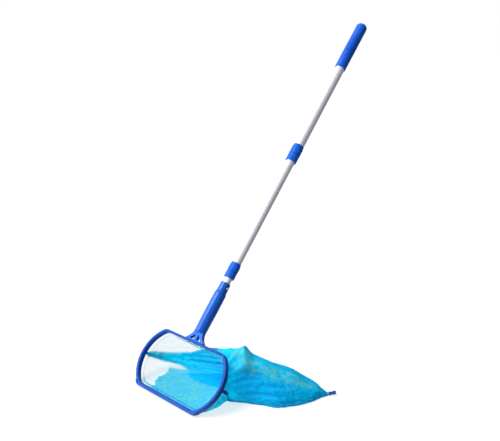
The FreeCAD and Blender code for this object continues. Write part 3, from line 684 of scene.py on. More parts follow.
@dataclass(frozen=True)
class SewingThread:
    """Twisted thread."""

    name: str
    colour: Colour
    deep: Colour

    def build(self) -> bpy.types.Material:
        """Make the material."""
        shader = Shader(self.name)
        shader.set({"Roughness": 0.55, "Sheen Weight": 0.4, "Specular IOR Level": 0.35})
        twist = shader.noise(shader.along((2600.0, 2600.0, 900.0), (0.4, 0.5, 0.2)), 1.0, 2.0)
        cloud = shader.noise(shader.whole, 240.0, 3.0)
        tone = shader.weigh(twist, 0.6, cloud, 0.4)
        shader.drive("Base Color", shader.mix(shader.spread(tone, 0.35, 0.65), self.deep, self.colour))
        shader.drive("Normal", shader.bump(twist, 0.4, 0.1 * MM))
        return shader.material


class Finishes:
    """Every finish of the skimmer, made once."""

    def __init__(self) -> None:
        """Make the materials."""
        rubbed = (0.09, 0.27, 0.72)
        self.moulded = MouldedPlastic("moulded_plastic", (0.002, 0.066, 0.43), (0.001, 0.044, 0.33),
                                      rubbed).build()
        self.collar = MouldedPlastic("collar_plastic", (0.005, 0.13, 0.76), (0.004, 0.1, 0.64), rubbed,
                                     roughness=0.4).build()
        self.socket = MouldedPlastic("socket_plastic", (0.003, 0.1, 0.62), (0.002, 0.07, 0.5), rubbed,
                                     roughness=0.28, shine=1.0).build()
        self.grip = SoftGripRubber().build()
        self.aluminium = DrawnAluminium().build()
        self.nylon = Nylon().build()
        self.steel = Steel("plain_steel").build()
        self.buttons = Steel("button_steel", (0.74, 0.74, 0.75), (0.56, 0.56, 0.58), 0.2).build()
        self.net = KnitNet().build()
        self.binding = BindingTape("binding_tape", (0.0, 0.4, 0.8), (0.0, 0.26, 0.68)).build()
        self.webbing = BindingTape("tab_webbing", (0.012, 0.075, 0.46), (0.004, 0.028, 0.25),
                                   rib=1.3 * MM).build()
        self.net_thread = SewingThread("net_thread", (0.02, 0.52, 0.9), (0.0, 0.3, 0.72)).build()
        self.tab_thread = SewingThread("tab_thread", (0.08, 0.25, 0.8), (0.02, 0.1, 0.5)).build()


def dress(node: str, material: bpy.types.Material) -> None:
    """Give a CAD node a finish."""
    piece = frame["nodes"][node]
    for slot in piece.material_slots:
        slot.material = material
    LOG.info("%s dressed in %s", node, material.name)


# Stitches


@dataclass(frozen=True)
class Stitches:
    """A row of thread stitches, modelled once and copied along a line.

    Attributes:
        length: of one stitch.
        gap: between two stitches.
        radius: of the thread.
        thinning: how much thinner the thread is at its two ends, as a share.
        dip: how far its ends sink into the cloth, in radii.
    """

    length: float = 2.6 * MM
    gap: float = 1.4 * MM
    radius: float = 0.32 * MM
    thinning: float = 0.45
    dip: float = 1.3

    def one(self) -> bpy.types.Object:
        """A single stitch along its own X, thinner where it dips into the cloth."""
        deselect_all()
        bpy.ops.mesh.primitive_cylinder_add(vertices=6, radius=self.radius, depth=self.length,
                                            end_fill_type="TRIFAN", rotation=(0.0, math.pi / 2, 0.0))
        stitch = bpy.context.object
        bpy.ops.object.transform_apply(rotation=True)
        with editing(stitch):
            select_faces(stitch, lambda face: abs(face.normal.x) < 0.5)
            bpy.ops.mesh.subdivide(number_cuts=1)
        for vertex in stitch.data.vertices:
            off_middle = (vertex.co.x / (self.length / 2)) ** 2
            thin = 1 - self.thinning * off_middle
            vertex.co.y *= thin
            vertex.co.z = vertex.co.z * thin - self.radius * self.dip * off_middle
        return stitch

    def row(self, name: str, line: np.ndarray, outward: np.ndarray) -> bpy.types.Object:
        """A row of stitches along a line.

        Args:
            name: the row's name.
            line: points of the line, in order.
            outward: the way out of the cloth at each point.

        Returns:
            The joined row.
        """
        pattern = self.one()
        steps = travelled(line)
        count = max(int(steps[-1] / (self.length + self.gap)), 1)
        middles = (np.arange(count) + 0.5) * steps[-1] / count
        pieces = []
        for middle in middles:
            spot, ahead, out = self._place(line, outward, steps, middle)
            side = out.cross(ahead).normalized()
            turn = Matrix((ahead, side, ahead.cross(side))).transposed().to_4x4()
            copy = bpy.data.objects.new(name, pattern.data.copy())
            copy.data.transform(Matrix.Translation(spot) @ turn)
            bpy.context.scene.collection.objects.link(copy)
            pieces.append(copy)
        bpy.data.objects.remove(pattern)
        return join(pieces, name)

    def _place(self, line: np.ndarray, outward: np.ndarray, steps: np.ndarray,
               middle: float) -> tuple[Vector, Vector, Vector]:
        """Where a stitch lies, which way it runs and which way is out."""
        spot, start, end = (Vector(read_along(middle + shift, steps, line))
                            for shift in (0.0, -self.length / 2, self.length / 2))
        return spot, (end - start).normalized(), Vector(read_along(middle, steps, outward)).normalized()


# The bag


@dataclass(frozen=True)
class Station:
    """One section of the bag as it lies on the floor.

    Attributes:
        along: distance from the hoop's middle, along the bag's heading.
        near: half-width towards the camera's side.
        far: half-width towards the other side.
        height: of the ridge above the floor.
        ridge: how far the ridge lies towards the near side.
        raised: how far the lower panel is held off the floor.
    """

    along: float
    near: float
    far: float
    height: float
    ridge: float
    raised: float = 0.0


def inside(value: np.ndarray, low: float | np.ndarray, high: float | np.ndarray, soft: float) -> np.ndarray:
    """1 where a value lies between two others, fading over a soft edge."""
    rise = np.clip((value - low) / soft + 0.5, 0, 1)
    fall = np.clip((high - value) / soft + 0.5, 0, 1)
    return rise * fall


@dataclass(frozen=True)
class Zone:
    """A part of the bag with soft edges.

    Attributes:
        turns: ranges round the bag that it covers.
        soft: how wide their edges are.
        shares: the range along the bag.
        fade: how wide that range's edges are.
    """

    turns: tuple[tuple[float, float], ...]
    soft: float
    shares: tuple[float, float] = (-1.0, 2.0)
    fade: float = 0.1

    def at(self, share: np.ndarray, turn: np.ndarray) -> np.ndarray:
        """How far each spot belongs to the zone, from 0 to 1."""
        around = np.maximum.reduce([inside(turn, low, high, self.soft) for low, high in self.turns])
        return around * inside(share, *self.shares, self.fade)


@dataclass
class NetBag:
    """The net: an upper and a lower panel of fine mesh, gathered to a small tail.

    Attributes:
        finishes: where its material comes from.
        heading: the way that the bag lies, from the X axis.
        off_floor: how high the lower panel lies.
        half_round: cells round each of the two panels.
        rows: cells along the bag.
        crowding: how much closer together the rows lie towards the mouth.
        mouth_at_bars: how far inside the hoop's outline the net starts at the bars.
        mouth_at_sides: how far inside it starts at the sides.
        mouth_back: how far behind the hoop's mid-depth it starts.
        sleeve: how far behind the mouth the net still follows its outline.
        sleeve_inset: how much further inside it lies there.
        peaked: how pointed a section's top is, as a power of a half circle's height.
        stations: its sections, from the hoop to the tail.
        slack: how much longer the cloth is than its shape, as a share.
        frames: how many steps the cloth has to settle.
        shares: how far along the bag each row lies.
        points: the net's points, row by row.
        outward: the way out of the net at each of them.
        tail: from where on the cloth is held fully as it settles, as a share of the bag.
        held_ends: over how much of the bag the hold fades, behind the mouth and before the tail.
    """

    GATHER: ClassVar[str] = "gather"
    STRETCH: ClassVar[str] = "stretch"
    PAINTED_GLOW: ClassVar[str] = "painted_glow"
    PAINTED_SHADE_LIGHT_AND_TONE: ClassVar[str] = "depth"
    KNIT: ClassVar[dict[str, object]] = {
        "quality": 6, "mass": 0.06, "tension_stiffness": 18.0, "compression_stiffness": 18.0,
        "shear_stiffness": 6.0, "bending_stiffness": 0.4, "air_damping": 2.5, "vertex_group_mass": "held",
        "pin_stiffness": 1.0}
    # Zones of the bag. In the net's colour, the near wall gets painted shade, and the far wall and the cloth
    # behind the hoop get painted light.
    BOTTOM: ClassVar[Zone] = Zone(((0.6, 0.93),), 0.08)
    FAR_WALL: ClassVar[Zone] = Zone(((0.24, 0.505),), 0.02, (-1.0, 0.42))
    NEAR_WALL: ClassVar[Zone] = Zone(((-1.0, 0.17),), 0.05, (0.42, 0.72))
    BEHIND_HOOP: ClassVar[Zone] = Zone(((0.9, 2.0), (-1.0, 0.24)), 0.05, (-1.0, 0.4))
    # Painted light: the next two zones glow, to lighten the shaded near wall by the hoop and the ridge past
    # the peak.
    PAINTED_LIT_WALL: ClassVar[Zone] = Zone(((0.9, 2.0), (-1.0, 0.18)), 0.05, (-1.0, 0.42))
    PAST_PEAK: ClassVar[Zone] = Zone(((0.18, 0.29),), 0.04, (0.43, 0.57), 0.06)
    RIDGE: ClassVar[Zone] = Zone(((0.155, 0.245),), 0.04, (0.35, 0.9), 0.06)
    # Bumps and dips of the crest: place along, width along, width round, height
    CREST_BUMPS: ClassVar[tuple[tuple[float, ...], ...]] = (
        (0.17, 0.085, 0.1, -13 * MM), (0.3, 0.06, 0.1, -7 * MM), (0.437, 0.034, 0.075, 23 * MM),
        (0.39, 0.02, 0.06, 3 * MM), (0.56, 0.08, 0.1, -4 * MM), (0.74, 0.06, 0.1, 5 * MM),
        (0.9, 0.025, 0.1, 3 * MM))
    CREST_AT: ClassVar[float] = 0.24
    # How fast the folds fan out along the bag, and how open the fan is where it starts
    FAN: ClassVar[tuple[float, float]] = (1.7, 0.06)
    PACKED: ClassVar[float] = 1.15
    # Strength of that painted glow.
    PAINTED_GLOW_STRENGTH: ClassVar[float] = 0.3
    # Upper and lower edge of the far wall's bunched fold, and of the part that lies on the floor, as
    # shares along and round the bag
    CREST_SHARE: ClassVar[tuple[float, ...]] = (0.0, 0.03, 0.07, 0.11, 0.16, 0.19, 0.23, 0.30)
    CREST_TURN: ClassVar[tuple[float, ...]] = (0.495, 0.49, 0.48, 0.47, 0.45, 0.435, 0.39, 0.27)
    FOLD_SHARE: ClassVar[tuple[float, ...]] = (0.0, 0.1, 0.15, 0.175, 0.189, 0.204, 0.23)
    FOLD_TURN: ClassVar[tuple[float, ...]] = (0.506, 0.503, 0.502, 0.503, 0.509, 0.522, 0.56)
    FLOOR_SHARE: ClassVar[tuple[float, ...]] = (0.0, 0.064, 0.127, 0.148, 0.175, 0.204, 0.212, 0.225, 0.25,
                                                0.3, 0.4)
    FLOOR_TURN: ClassVar[tuple[float, ...]] = (0.66, 0.652, 0.583, 0.532, 0.527, 0.522, 0.57, 0.64, 0.7,
                                               0.77, 0.9)

    finishes: Finishes
    heading: float = math.radians(39.4)
    off_floor: float = 1.3 * MM
    half_round: int = 100
    rows: int = 128
    crowding: float = 1.2
    mouth_at_bars: float = 3.2 * MM
    mouth_at_sides: float = 4.6 * MM
    mouth_back: float = 7.8 * MM
    sleeve: float = 13.0 * MM
    sleeve_inset: float = 1.5 * MM
    peaked: float = 1.25
    stations: tuple[Station, ...] = (
        Station(0.150, 0.050, 0.095, 0.118, -0.015),
        Station(0.215, 0.060, 0.095, 0.092, -0.021),
        Station(0.265, 0.070, 0.085, 0.068, -0.022),
        Station(0.310, 0.057, 0.066, 0.050, -0.020),
        Station(0.356, 0.036, 0.041, 0.030, -0.014),
        Station(0.380, 0.0175, 0.0190, 0.0165, -0.004),
        Station(0.3985, 0.0056, 0.0056, 0.0042, 0.0, 0.0005),
        Station(0.4035, 0.0050, 0.0050, 0.0050, 0.0, 0.0025),
    )
    slack: float = 0.016
    frames: int = 25
    tail: float = 0.965
    held_ends: float = 0.03
    shares: np.ndarray = field(init=False)
    points: np.ndarray = field(init=False)
    outward: np.ndarray = field(init=False)

    @property
    def ahead(self) -> np.ndarray:
        """The bag's heading as a direction."""
        return np.array((math.cos(self.heading), math.sin(self.heading), 0.0))

    @property
    def side(self) -> np.ndarray:
        """The way from the bag's middle to the side that faces the camera."""
        return np.array((math.sin(self.heading), -math.cos(self.heading), 0.0))

    @property
    def columns(self) -> int:
        """Points round the bag."""
        return self.half_round * 2

    # Shape

    def _even(self, line: np.ndarray, count: int) -> np.ndarray:
        """Points at even steps along a line, without its last one."""
        steps = travelled(line)
        return read_along(np.linspace(0.0, steps[-1], count + 1)[:-1], steps, line)

    def _mouth(self, back: float, inset: float) -> np.ndarray:
        """The ring of points where the net leaves the hoop, from the right seam over the top."""
        ring = []
        for start in (0.0, math.pi):
            angles = np.linspace(start, start + math.pi, 600)
            line = np.array([OUTLINE.point(angle, self.mouth_at_bars + inset, self.mouth_at_sides + inset,
                                           back) for angle in angles])
            ring.append(self._even(line, self.half_round))
        return np.concatenate(ring)

    def _section(self, station: Station) -> np.ndarray:
        """The ring of points of one section, from the near edge over the ridge and back below."""
        middle = np.array(HEAD.point(0.0, 0.0, HEAD.height / 2))
        middle[2] = self.off_floor + station.raised
        angles = np.linspace(0.0, math.pi, 240)
        turn = np.cos(angles)
        to_near = station.ridge + (station.near - station.ridge) * turn
        to_far = station.ridge + (station.far + station.ridge) * turn
        reach = np.where(turn > 0, to_near, to_far)
        lift = (station.height - middle[2]) * np.sin(angles) ** self.peaked
        start = middle + self.ahead * station.along
        over = start + np.outer(reach, self.side) + np.outer(lift, (0.0, 0.0, 1.0))
        below = np.array([over[-1], over[0]])
        return np.concatenate([self._even(over, self.half_round), self._even(below, self.half_round)])

    def _loft(self) -> np.ndarray:
        """A grid of points over the whole bag, smooth through its sections."""
        rings = [self._mouth(self.mouth_back, 0.0),
                 self._mouth(self.mouth_back + self.sleeve, self.sleeve_inset)]
        rings += [self._section(station) for station in self.stations]
        rings = np.array(rings)
        gaps = gaps_between(rings)
        places = np.concatenate([[0.0], np.cumsum(gaps)])
        tangents = np.gradient(rings, places, axis=0)
        tangents[0] = (rings[1] - rings[0]) / gaps[0]
        self.shares = np.linspace(0.0, 1.0, self.rows + 1) ** self.crowding
        grid = []
        for place in self.shares * places[-1]:
            index = min(np.searchsorted(places, place, side="right") - 1, len(gaps) - 1)
            share = (place - places[index]) / gaps[index]
            grid.append(self._between(rings[index], rings[index + 1], tangents[index] * gaps[index],
                                      tangents[index + 1] * gaps[index], share))
        grid = np.array(grid)
        grid[:, :, 2] += self._crest_lift()
        grid[:, :, 2] = np.maximum(grid[:, :, 2], self.off_floor)
        return grid

    def _crest_lift(self) -> np.ndarray:
        """How much higher or lower the crest lies than the plain loft."""
        turn = np.arange(self.columns) / self.columns
        lift = np.zeros((self.rows + 1, self.columns))
        for place, width, spread, height in self.CREST_BUMPS:
            along = np.exp(-((self.shares - place) / width) ** 2)
            around = np.exp(-((turn - self.CREST_AT) / spread) ** 2) * (turn < 0.5)
            lift += height * np.outer(along, around)
        return lift

    @staticmethod
    def _between(first: np.ndarray, second: np.ndarray, leaving: np.ndarray, arriving: np.ndarray,
                 share: float) -> np.ndarray:
        """A point on the smooth curve between two points."""
        square, cube = share ** 2, share ** 3
        return ((2 * cube - 3 * square + 1) * first + (cube - 2 * square + share) * leaving
                + (3 * square - 2 * cube) * second + (cube - square) * arriving)

    def normals(self, grid: np.ndarray) -> np.ndarray:
        """The way out of the bag at each point of its grid."""
        round_it = np.roll(grid, -1, axis=1) - np.roll(grid, 1, axis=1)
        along_it = np.gradient(grid, axis=0)
        out = np.cross(along_it, round_it)
        return out / np.maximum(np.linalg.norm(out, axis=2, keepdims=True), 1e-12)

    def _creased(self, grid: np.ndarray) -> np.ndarray:
        """Lay long folds into the bag: they fan out from the seams' starts and gather at the tail."""
        out = self.normals(grid)
        moved = grid.copy()
        for row, share in enumerate(self.shares):
            depth = self._fold_depth(share)
            for column in range(self.columns):
                turn = column / self.columns
                upper = turn < 0.5
                around = turn * 2 if upper else 2 - turn * 2
                fold = self._fold(around, share, 3.0 if upper else 11.0)
                lie = 1.0 if upper else 0.3
                edge = min(1.0, 6 * min(around, 1 - around) + 0.3)
                ledge = self._ledge(turn, share) if upper else 0.0
                moved[row, column] -= out[row, column] * (fold * depth * lie * edge + ledge)
        moved[:, :, 2] = np.maximum(moved[:, :, 2], self.off_floor)
        moved[0] = grid[0]
        return moved

    @staticmethod
    def _fold_depth(share: float) -> float:
        """How deep the folds are, a share of the way along the bag."""
        rise = min(share / 0.1, 1.0) * min(max((0.975 - share) / 0.04, 0.0), 1.0)
        return (3.2 * MM + 3.0 * MM * math.sin(math.pi * share)) * rise * (1 - 0.6 * share)

    @classmethod
    def _fan(cls, away: float, share: float, seed: float) -> float:
        """Long folds and finer ones that fan out from a seam's start.

        Args:
            away: how far round the panel a place lies from that seam.
            share: how far along the bag it lies.
            seed: which folds to draw.

        Returns:
            Their height at the place, about -1 to 1.
        """
        growth, start = cls.FAN
        angle = math.atan2(away, share * growth + start)
        return (noise.noise((angle * 9.0, share * 2.2, seed)) * 1.3
                + noise.noise((angle * 21.0, share * 3.2, seed + 2.0)) * 0.7)

    @classmethod
    def _fold(cls, around: float, share: float, seed: float) -> float:
        """The height of the folds, about -1 to 1, at a place round one panel and along the bag."""
        blend = min(max((around - 0.3) / 0.4, 0.0), 1.0)
        near, far = cls._fan(around, share, seed), cls._fan(1 - around, share, seed + 4.0)
        crush = noise.noise((around * 8.0, share * 8.0, seed + 8.3)) * 0.5
        return near * (1 - blend) + far * blend + crush

    @classmethod
    def _crest_line(cls, share: np.ndarray | float) -> np.ndarray | float:
        """Where the far wall's fold runs round the bag, from the left seam's start towards the top."""
        return np.interp(share, cls.CREST_SHARE, cls.CREST_TURN)

    @classmethod
    def _ledge(cls, turn: float, share: float) -> float:
        """How far the bunched fold stands out of the far wall, less than 0."""
        away = (turn - cls._crest_line(share)) / 0.012
        return -5.0 * MM * math.exp(-away ** 2) * min(share / 0.05, 1.0) * max(1 - share / 0.4, 0.0)

    # Mesh

    def _mesh(self, grid: np.ndarray) -> bpy.types.Object:
        """The bag's mesh, with its tail closed and a UV map in metres."""
        rows, columns = grid.shape[:2]
        points = grid.reshape(-1, 3)
        faces = [face[::-1] for face in grid_faces(rows, columns, closed=True)]
        tail = len(points)
        points = np.vstack([points, grid[-1].mean(axis=0)])
        last = (rows - 1) * columns
        faces += [(last + (column + 1) % columns, last + column, tail) for column in range(columns)]
        piece = mesh_of("net_bag_cloth", points, faces)
        self._unroll(piece, grid)
        return piece

    def _unroll(self, piece: bpy.types.Object, grid: np.ndarray) -> None:
        """Give the cloth a UV map that keeps its real size, each panel on its own side."""
        rows, columns = grid.shape[:2]
        along = np.concatenate([[0.0], np.cumsum(gaps_between(grid))])
        width = np.linalg.norm(np.roll(grid[2], -1, axis=0) - grid[2], axis=1).sum()
        layer = piece.data.uv_layers.new(name="cloth")
        values = np.zeros((len(piece.data.loops), 2), np.float32)
        for polygon in piece.data.polygons:
            spots = [piece.data.loops[loop].vertex_index for loop in polygon.loop_indices]
            first = min(spot % columns for spot in spots if spot < rows * columns)
            wraps = any(spot % columns == columns - 1 for spot in spots) and first == 0
            for loop, spot in zip(polygon.loop_indices, spots):
                if spot >= rows * columns:
                    values[loop] = (width / 2, along[-1] + 5 * MM)
                    continue
                column = spot % columns
                column = columns if wraps and column == 0 else column
                values[loop] = (column / columns * width, along[spot // columns])
        layer.data.foreach_set("uv", values.ravel())

    def _grid_of(self, piece: bpy.types.Object) -> np.ndarray:
        """The grid of points of the cloth's mesh as it is now."""
        points = np.zeros(len(piece.data.vertices) * 3, np.float64)
        piece.data.vertices.foreach_get("co", points)
        return points.reshape(-1, 3)[:-1].reshape(self.rows + 1, self.columns, 3)

    # Cloth

    def _relax(self, piece: bpy.types.Object) -> None:
        """Let the slack cloth settle on the floor, held at its mouth and its tail."""
        floor = self._solid_floor()
        self._hold(piece)
        cloth = piece.modifiers.new("cloth", "CLOTH")
        for name, value in self.KNIT.items():
            setattr(cloth.settings, name, value)
        cloth.settings.shrink_min = cloth.settings.shrink_max = -self.slack
        cloth.settings.effector_weights.gravity = 0.35
        cloth.collision_settings.distance_min = 0.7 * MM
        cloth.collision_settings.collision_quality = 2
        cloth.collision_settings.use_self_collision = False
        scene = bpy.context.scene
        for step in range(1, self.frames + 1):
            scene.frame_set(step)
        take(piece)
        bpy.ops.object.modifier_apply(modifier=cloth.name)
        scene.frame_set(1)
        bpy.data.objects.remove(floor)

    def _solid_floor(self) -> bpy.types.Object:
        """A floor for the cloth to settle on, removed afterwards."""
        deselect_all()
        bpy.ops.mesh.primitive_plane_add(size=2.0, location=(0.0, 0.2, 0.0))
        floor = bpy.context.object
        floor.modifiers.new("collision", "COLLISION")
        floor.collision.thickness_outer = 0.5 * MM
        return floor

    def _hold(self, piece: bpy.types.Object) -> None:
        """Mark how firmly each point is held: the mouth and the tail fully, the crest a little."""
        group = piece.vertex_groups.new(name="held")
        for row in range(self.rows + 1):
            share = self.shares[row]
            ends = max(1 - share / self.held_ends, 0.0, 1 - (self.tail - share) / self.held_ends)
            for column in range(self.columns):
                turn = column / self.columns
                crest = math.exp(-((turn - 0.25) / 0.09) ** 2)
                upper = 0.16 if turn < 0.5 else 0.08
                weight = max(min(ends, 1.0), upper + 0.3 * crest)
                group.add([row * self.columns + column], weight, "REPLACE")
        group.add([(self.rows + 1) * self.columns], 1.0, "REPLACE")

    # Paint

    def _paint(self, piece: bpy.types.Object, grid: np.ndarray) -> None:
        """Store on each point how it is gathered, how pale it is, its painted shade and painted light, and
        its painted glow.
        """
        share = np.repeat(self.shares[:, None], self.columns, axis=1)
        turn = np.repeat((np.arange(self.columns) / self.columns)[None, :], self.rows + 1, axis=0)
        # Painted shade: spots lying deep between their neighbours are darkened in colour, and those standing
        # out are lightened. The hollows are also made a little denser.
        crease = np.clip(self._hollows(grid) * 260.0, -0.35, 0.6)
        gather, stretch, depth, through = self._gathered(share, turn)
        gather = np.clip(gather * (1 + 0.3 * np.clip(crease, -0.5, 1.0)), 0.05, 1.3)
        for name, values, end in ((self.GATHER, gather, 1.0), (self.STRETCH, stretch, 0.0),
                                  (self.PAINTED_SHADE_LIGHT_AND_TONE, depth + crease, 0.3), (self.PAINTED_GLOW, through, 0.0)):
            attribute = piece.data.attributes.new(name, "FLOAT", "POINT")
            attribute.data.foreach_set("value", np.append(values.ravel(), end).astype(np.float32))

    @classmethod
    def _gathered(cls, share: np.ndarray, turn: np.ndarray) -> tuple[np.ndarray, ...]:
        """How tightly the net is gathered, how pale, its painted shade and painted light, and its painted
        glow.

        Args:
            share: how far along the bag each spot lies.
            turn: how far round it.

        Returns:
            The four values of each spot: cover from under 0.2 in one stretched layer to over 1 where
            it is gathered, pale from 0 to 1, painted shade and the folded edge's darker tone above 0,
            painted light below 0, and the painted glow.
        """
        ragged = np.array([[noise.noise((s * 30.0, t * 40.0, 2.0)) for s, t in zip(row_s, row_t)]
                           for row_s, row_t in zip(share, turn)])
        crest = cls._crest_line(share) + 0.005 * ragged
        fold = np.interp(share, cls.FOLD_SHARE, cls.FOLD_TURN) + 0.003 * ragged
        floor = np.interp(share, cls.FLOOR_SHARE, cls.FLOOR_TURN) + 0.008 * ragged
        stretched_top = inside(turn, 0.1, crest, 0.01) * inside(share, -1.0, 0.25, 0.05)
        stretched_side = inside(turn, fold, floor, 0.01) * inside(share, -1.0, 0.205, 0.01)
        on_floor = inside(turn, floor, 0.93, 0.02)
        bottom, far_wall, near_wall, behind_hoop, past_peak, ridge, painted_lit_wall = (
            zone.at(share, turn) for zone in (cls.BOTTOM, cls.FAR_WALL, cls.NEAR_WALL, cls.BEHIND_HOOP,
                                              cls.PAST_PEAK, cls.RIDGE, cls.PAINTED_LIT_WALL))
        patches = np.clip(0.6 + 1.4 * ragged, 0, 1) * ridge
        gather = np.full(share.shape, cls.PACKED)
        for zone, cover in ((on_floor, 1.05), (stretched_top, 0.2), (stretched_side, 0.18)):
            gather = gather * (1 - zone) + cover * zone
        edge = inside(share, -1.0, 0.022, 0.012)
        seam = inside(share, 0.024, 0.04, 0.01) * (0.1 + 0.9 * bottom)
        gather = gather * (1 - 0.6 * edge * (1 - 0.75 * bottom))
        gather = gather * (1 - seam) + np.maximum(gather, 0.85) * seam
        # Paleness: the stretched parts, ragged patches along the ridge, and the part that lies on the floor.
        stretch = np.maximum.reduce([stretched_top, stretched_side, 0.95 * patches, 0.75 * on_floor])
        # Painted shade on the near wall, painted light on the far wall and behind the hoop, and a darker
        # tone where the net's edge is folded over along the bottom.
        depth = 0.34 * near_wall - 0.6 * far_wall - 0.3 * behind_hoop + 0.6 * seam * bottom
        # The painted glow of the near wall by the hoop and of the ridge past the peak.
        return gather, stretch * (1 - seam * bottom), depth, cls.PAINTED_GLOW_STRENGTH * (painted_lit_wall + past_peak)

    def _hollows(self, grid: np.ndarray) -> np.ndarray:
        """How deep each spot lies between its neighbours, in metres."""
        out = self.normals(grid)
        near = (np.roll(grid, 3, axis=1) + np.roll(grid, -3, axis=1)) / 2
        return np.einsum("ijk,ijk->ij", near - grid, out)

    def make(self) -> bpy.types.Object:
        """Build the net.

        Returns:
            The cloth of both panels.
        """
        piece = self._mesh(self._creased(self._loft()))
        self._relax(piece)
        self.points = self._grid_of(piece)
        self.points[:, :, 2] = np.maximum(self.points[:, :, 2], self.off_floor * 0.6)
        flat = np.vstack([self.points.reshape(-1, 3), self.points[-1].mean(axis=0)])
        piece.data.vertices.foreach_set("co", flat.astype(np.float32).ravel())
        self.outward = self.normals(self.points)
        self._paint(piece, self.points)
        piece.data.update()
        take(piece)
        bpy.ops.object.shade_smooth()
        return put_on(piece, self.finishes.net, Slot.NET, "net_bag")


# What is sewn to the bag


def lay_tape_map(piece: bpy.types.Object, grid: np.ndarray, closed: bool = False) -> None:
    """Give a woven piece a UV map in metres, across and along.

    Args:
        piece: its mesh, with the grid's points in order.
        grid: rows of points along the piece.
        closed: whether the last row joins the first, and each row runs round to its own start.
    """
    rows, columns = grid.shape[:2]
    along = travelled(np.vstack([grid[:, 0], grid[:1, 0]]))
    across = travelled(np.vstack([grid[0], grid[0, :1]]))
    layer = piece.data.uv_layers.new(name="tape")
    for polygon in piece.data.polygons:
        spots = [piece.data.loops[loop].vertex_index for loop in polygon.loop_indices]
        row_ends = closed and max(spot // columns for spot in spots) == rows - 1
        round_ends = closed and max(spot % columns for spot in spots) == columns - 1
        for loop, spot in zip(polygon.loop_indices, spots):
            row, column = divmod(spot, columns)
            row = rows if row == 0 and row_ends and rows > 2 else row
            column = columns if column == 0 and round_ends else column
            layer.data[loop].uv = (across[column], along[row])


@dataclass(frozen=True)
class SeamTrims:
    """One side seam's binding with its stitches, and the dark tape loop over the seam's start.

    Attributes:
        bag: the net that it is sewn to.
        finishes: where its materials come from.
        side: right or left.
        over: how far the binding reaches up the upper panel.
        under: how far it reaches under the lower one.
        tape_thick: the binding's thickness.
        lead: how far behind the mouth the binding starts, as a share of the bag.
        tail: where it ends, as a share of the bag.
        loop_length: the dark loop's length along the seam.
        loop_width: its width.
        loop_thick: its thickness.
    """

    bag: NetBag
    finishes: Finishes
    side: str
    over: float = 5.5 * MM
    under: float = 1.6 * MM
    tape_thick: float = 0.8 * MM
    lead: float = 0.022
    tail: float = 0.985
    loop_length: float = 27.0 * MM
    loop_width: float = 8.5 * MM
    loop_thick: float = 1.3 * MM

    @property
    def column(self) -> int:
        """The net's column of points that is this seam."""
        return 0 if self.side == "right" else self.bag.half_round

    def _beside(self, row: int, distances: np.ndarray) -> tuple[np.ndarray, np.ndarray]:
        """Points of the cloth on both sides of the seam, and the way out of the cloth at each.

        Args:
            row: which row of the net.
            distances: from the seam, on to the upper panel where they are positive.

        Returns:
            The points and the ways out.
        """
        reach = 24
        upward = 1 if self.side == "right" else -1
        columns = [(self.column + upward * step) % self.bag.columns for step in range(-reach, reach + 1)]
        ring, out = self.bag.points[row][columns], self.bag.outward[row][columns]
        steps = travelled(ring)
        steps -= steps[reach]
        points, ways = (read_along(distances, steps, values) for values in (ring, out))
        return points, ways / np.linalg.norm(ways, axis=1, keepdims=True)

    def _tape(self, name: str, rows: Sequence[int], edges: tuple[float, float], lift: float,
              thick: float) -> tuple[bpy.types.Object, np.ndarray, np.ndarray]:
        """A tape that follows the cloth along the seam.

        Args:
            name: the tape's name.
            rows: the rows of the net that it runs over.
            edges: the tape's two edges, as distances from the seam.
            lift: how far its inner face stands off the cloth.
            thick: its thickness.

        Returns:
            The tape, its outer surface's points and the ways out of it.
        """
        distances = np.linspace(edges[0], edges[1], 9)
        grid, outward = [], []
        for row in rows:
            points, ways = self._beside(row, distances)
            flutter = 0.3 * MM * noise.noise((row * 0.21, self.column * 0.1, 4.0))
            grid.append(points + ways * (lift + thick / 2 + abs(flutter)))
            outward.append(ways)
        grid, outward = np.array(grid), np.array(outward)
        grid[:, :, 2] = np.maximum(grid[:, :, 2], thick / 2 + 0.1 * MM)
        piece = mesh_of(name, grid.reshape(-1, 3), grid_faces(len(grid), len(distances), closed=False))
        lay_tape_map(piece, grid)
        finish_with(piece, "SOLIDIFY", thickness=thick, offset=0.0)
        face_outwards(piece)
        round_edges(piece, thick * 0.3, 2, over=60, sharp=50)
        return piece, grid + outward * thick / 2, outward

    def binding(self) -> list[bpy.types.Object]:
        """The folded tape along the seam, and its row of stitches."""
        rows = [row for row, share in enumerate(self.bag.shares) if self.lead <= share <= self.tail]
        tape, outer, ways = self._tape(f"{self.side}_seam_tape", rows, (-self.under, self.over), 0.25 * MM,
                                       self.tape_thick)
        put_on(tape, self.finishes.binding, Slot.BINDING, f"{self.side}_seam_binding")
        thread = Stitches().row(f"{self.side}_seam_stitches", outer[:, -2], ways[:, -2])
        put_on(thread, self.finishes.net_thread, Slot.BINDING)
        return [tape, thread]

    def loop(self) -> list[bpy.types.Object]:
        """A short dark tape sewn over the seam's start, where the pull on the net comes together."""
        along = travelled(self.bag.points[:, self.column])
        rows = [row for row, distance in enumerate(along) if distance < self.loop_length]
        half = self.loop_width / 2
        tape, outer, ways = self._tape(f"{self.side}_seam_loop", rows, (-half, half),
                                       0.35 * MM + self.tape_thick, self.loop_thick)
        put_on(tape, self.finishes.webbing, Slot.TAB)
        stitches = Stitches(2.0 * MM, 1.0 * MM, 0.3 * MM)
        thread = join([stitches.row(f"row_{column}", outer[3:-1, column], ways[3:-1, column])
                       for column in (1, -2)], f"{self.side}_loop_stitches")
        put_on(thread, self.finishes.tab_thread, Slot.TAB)
        return [tape, thread]


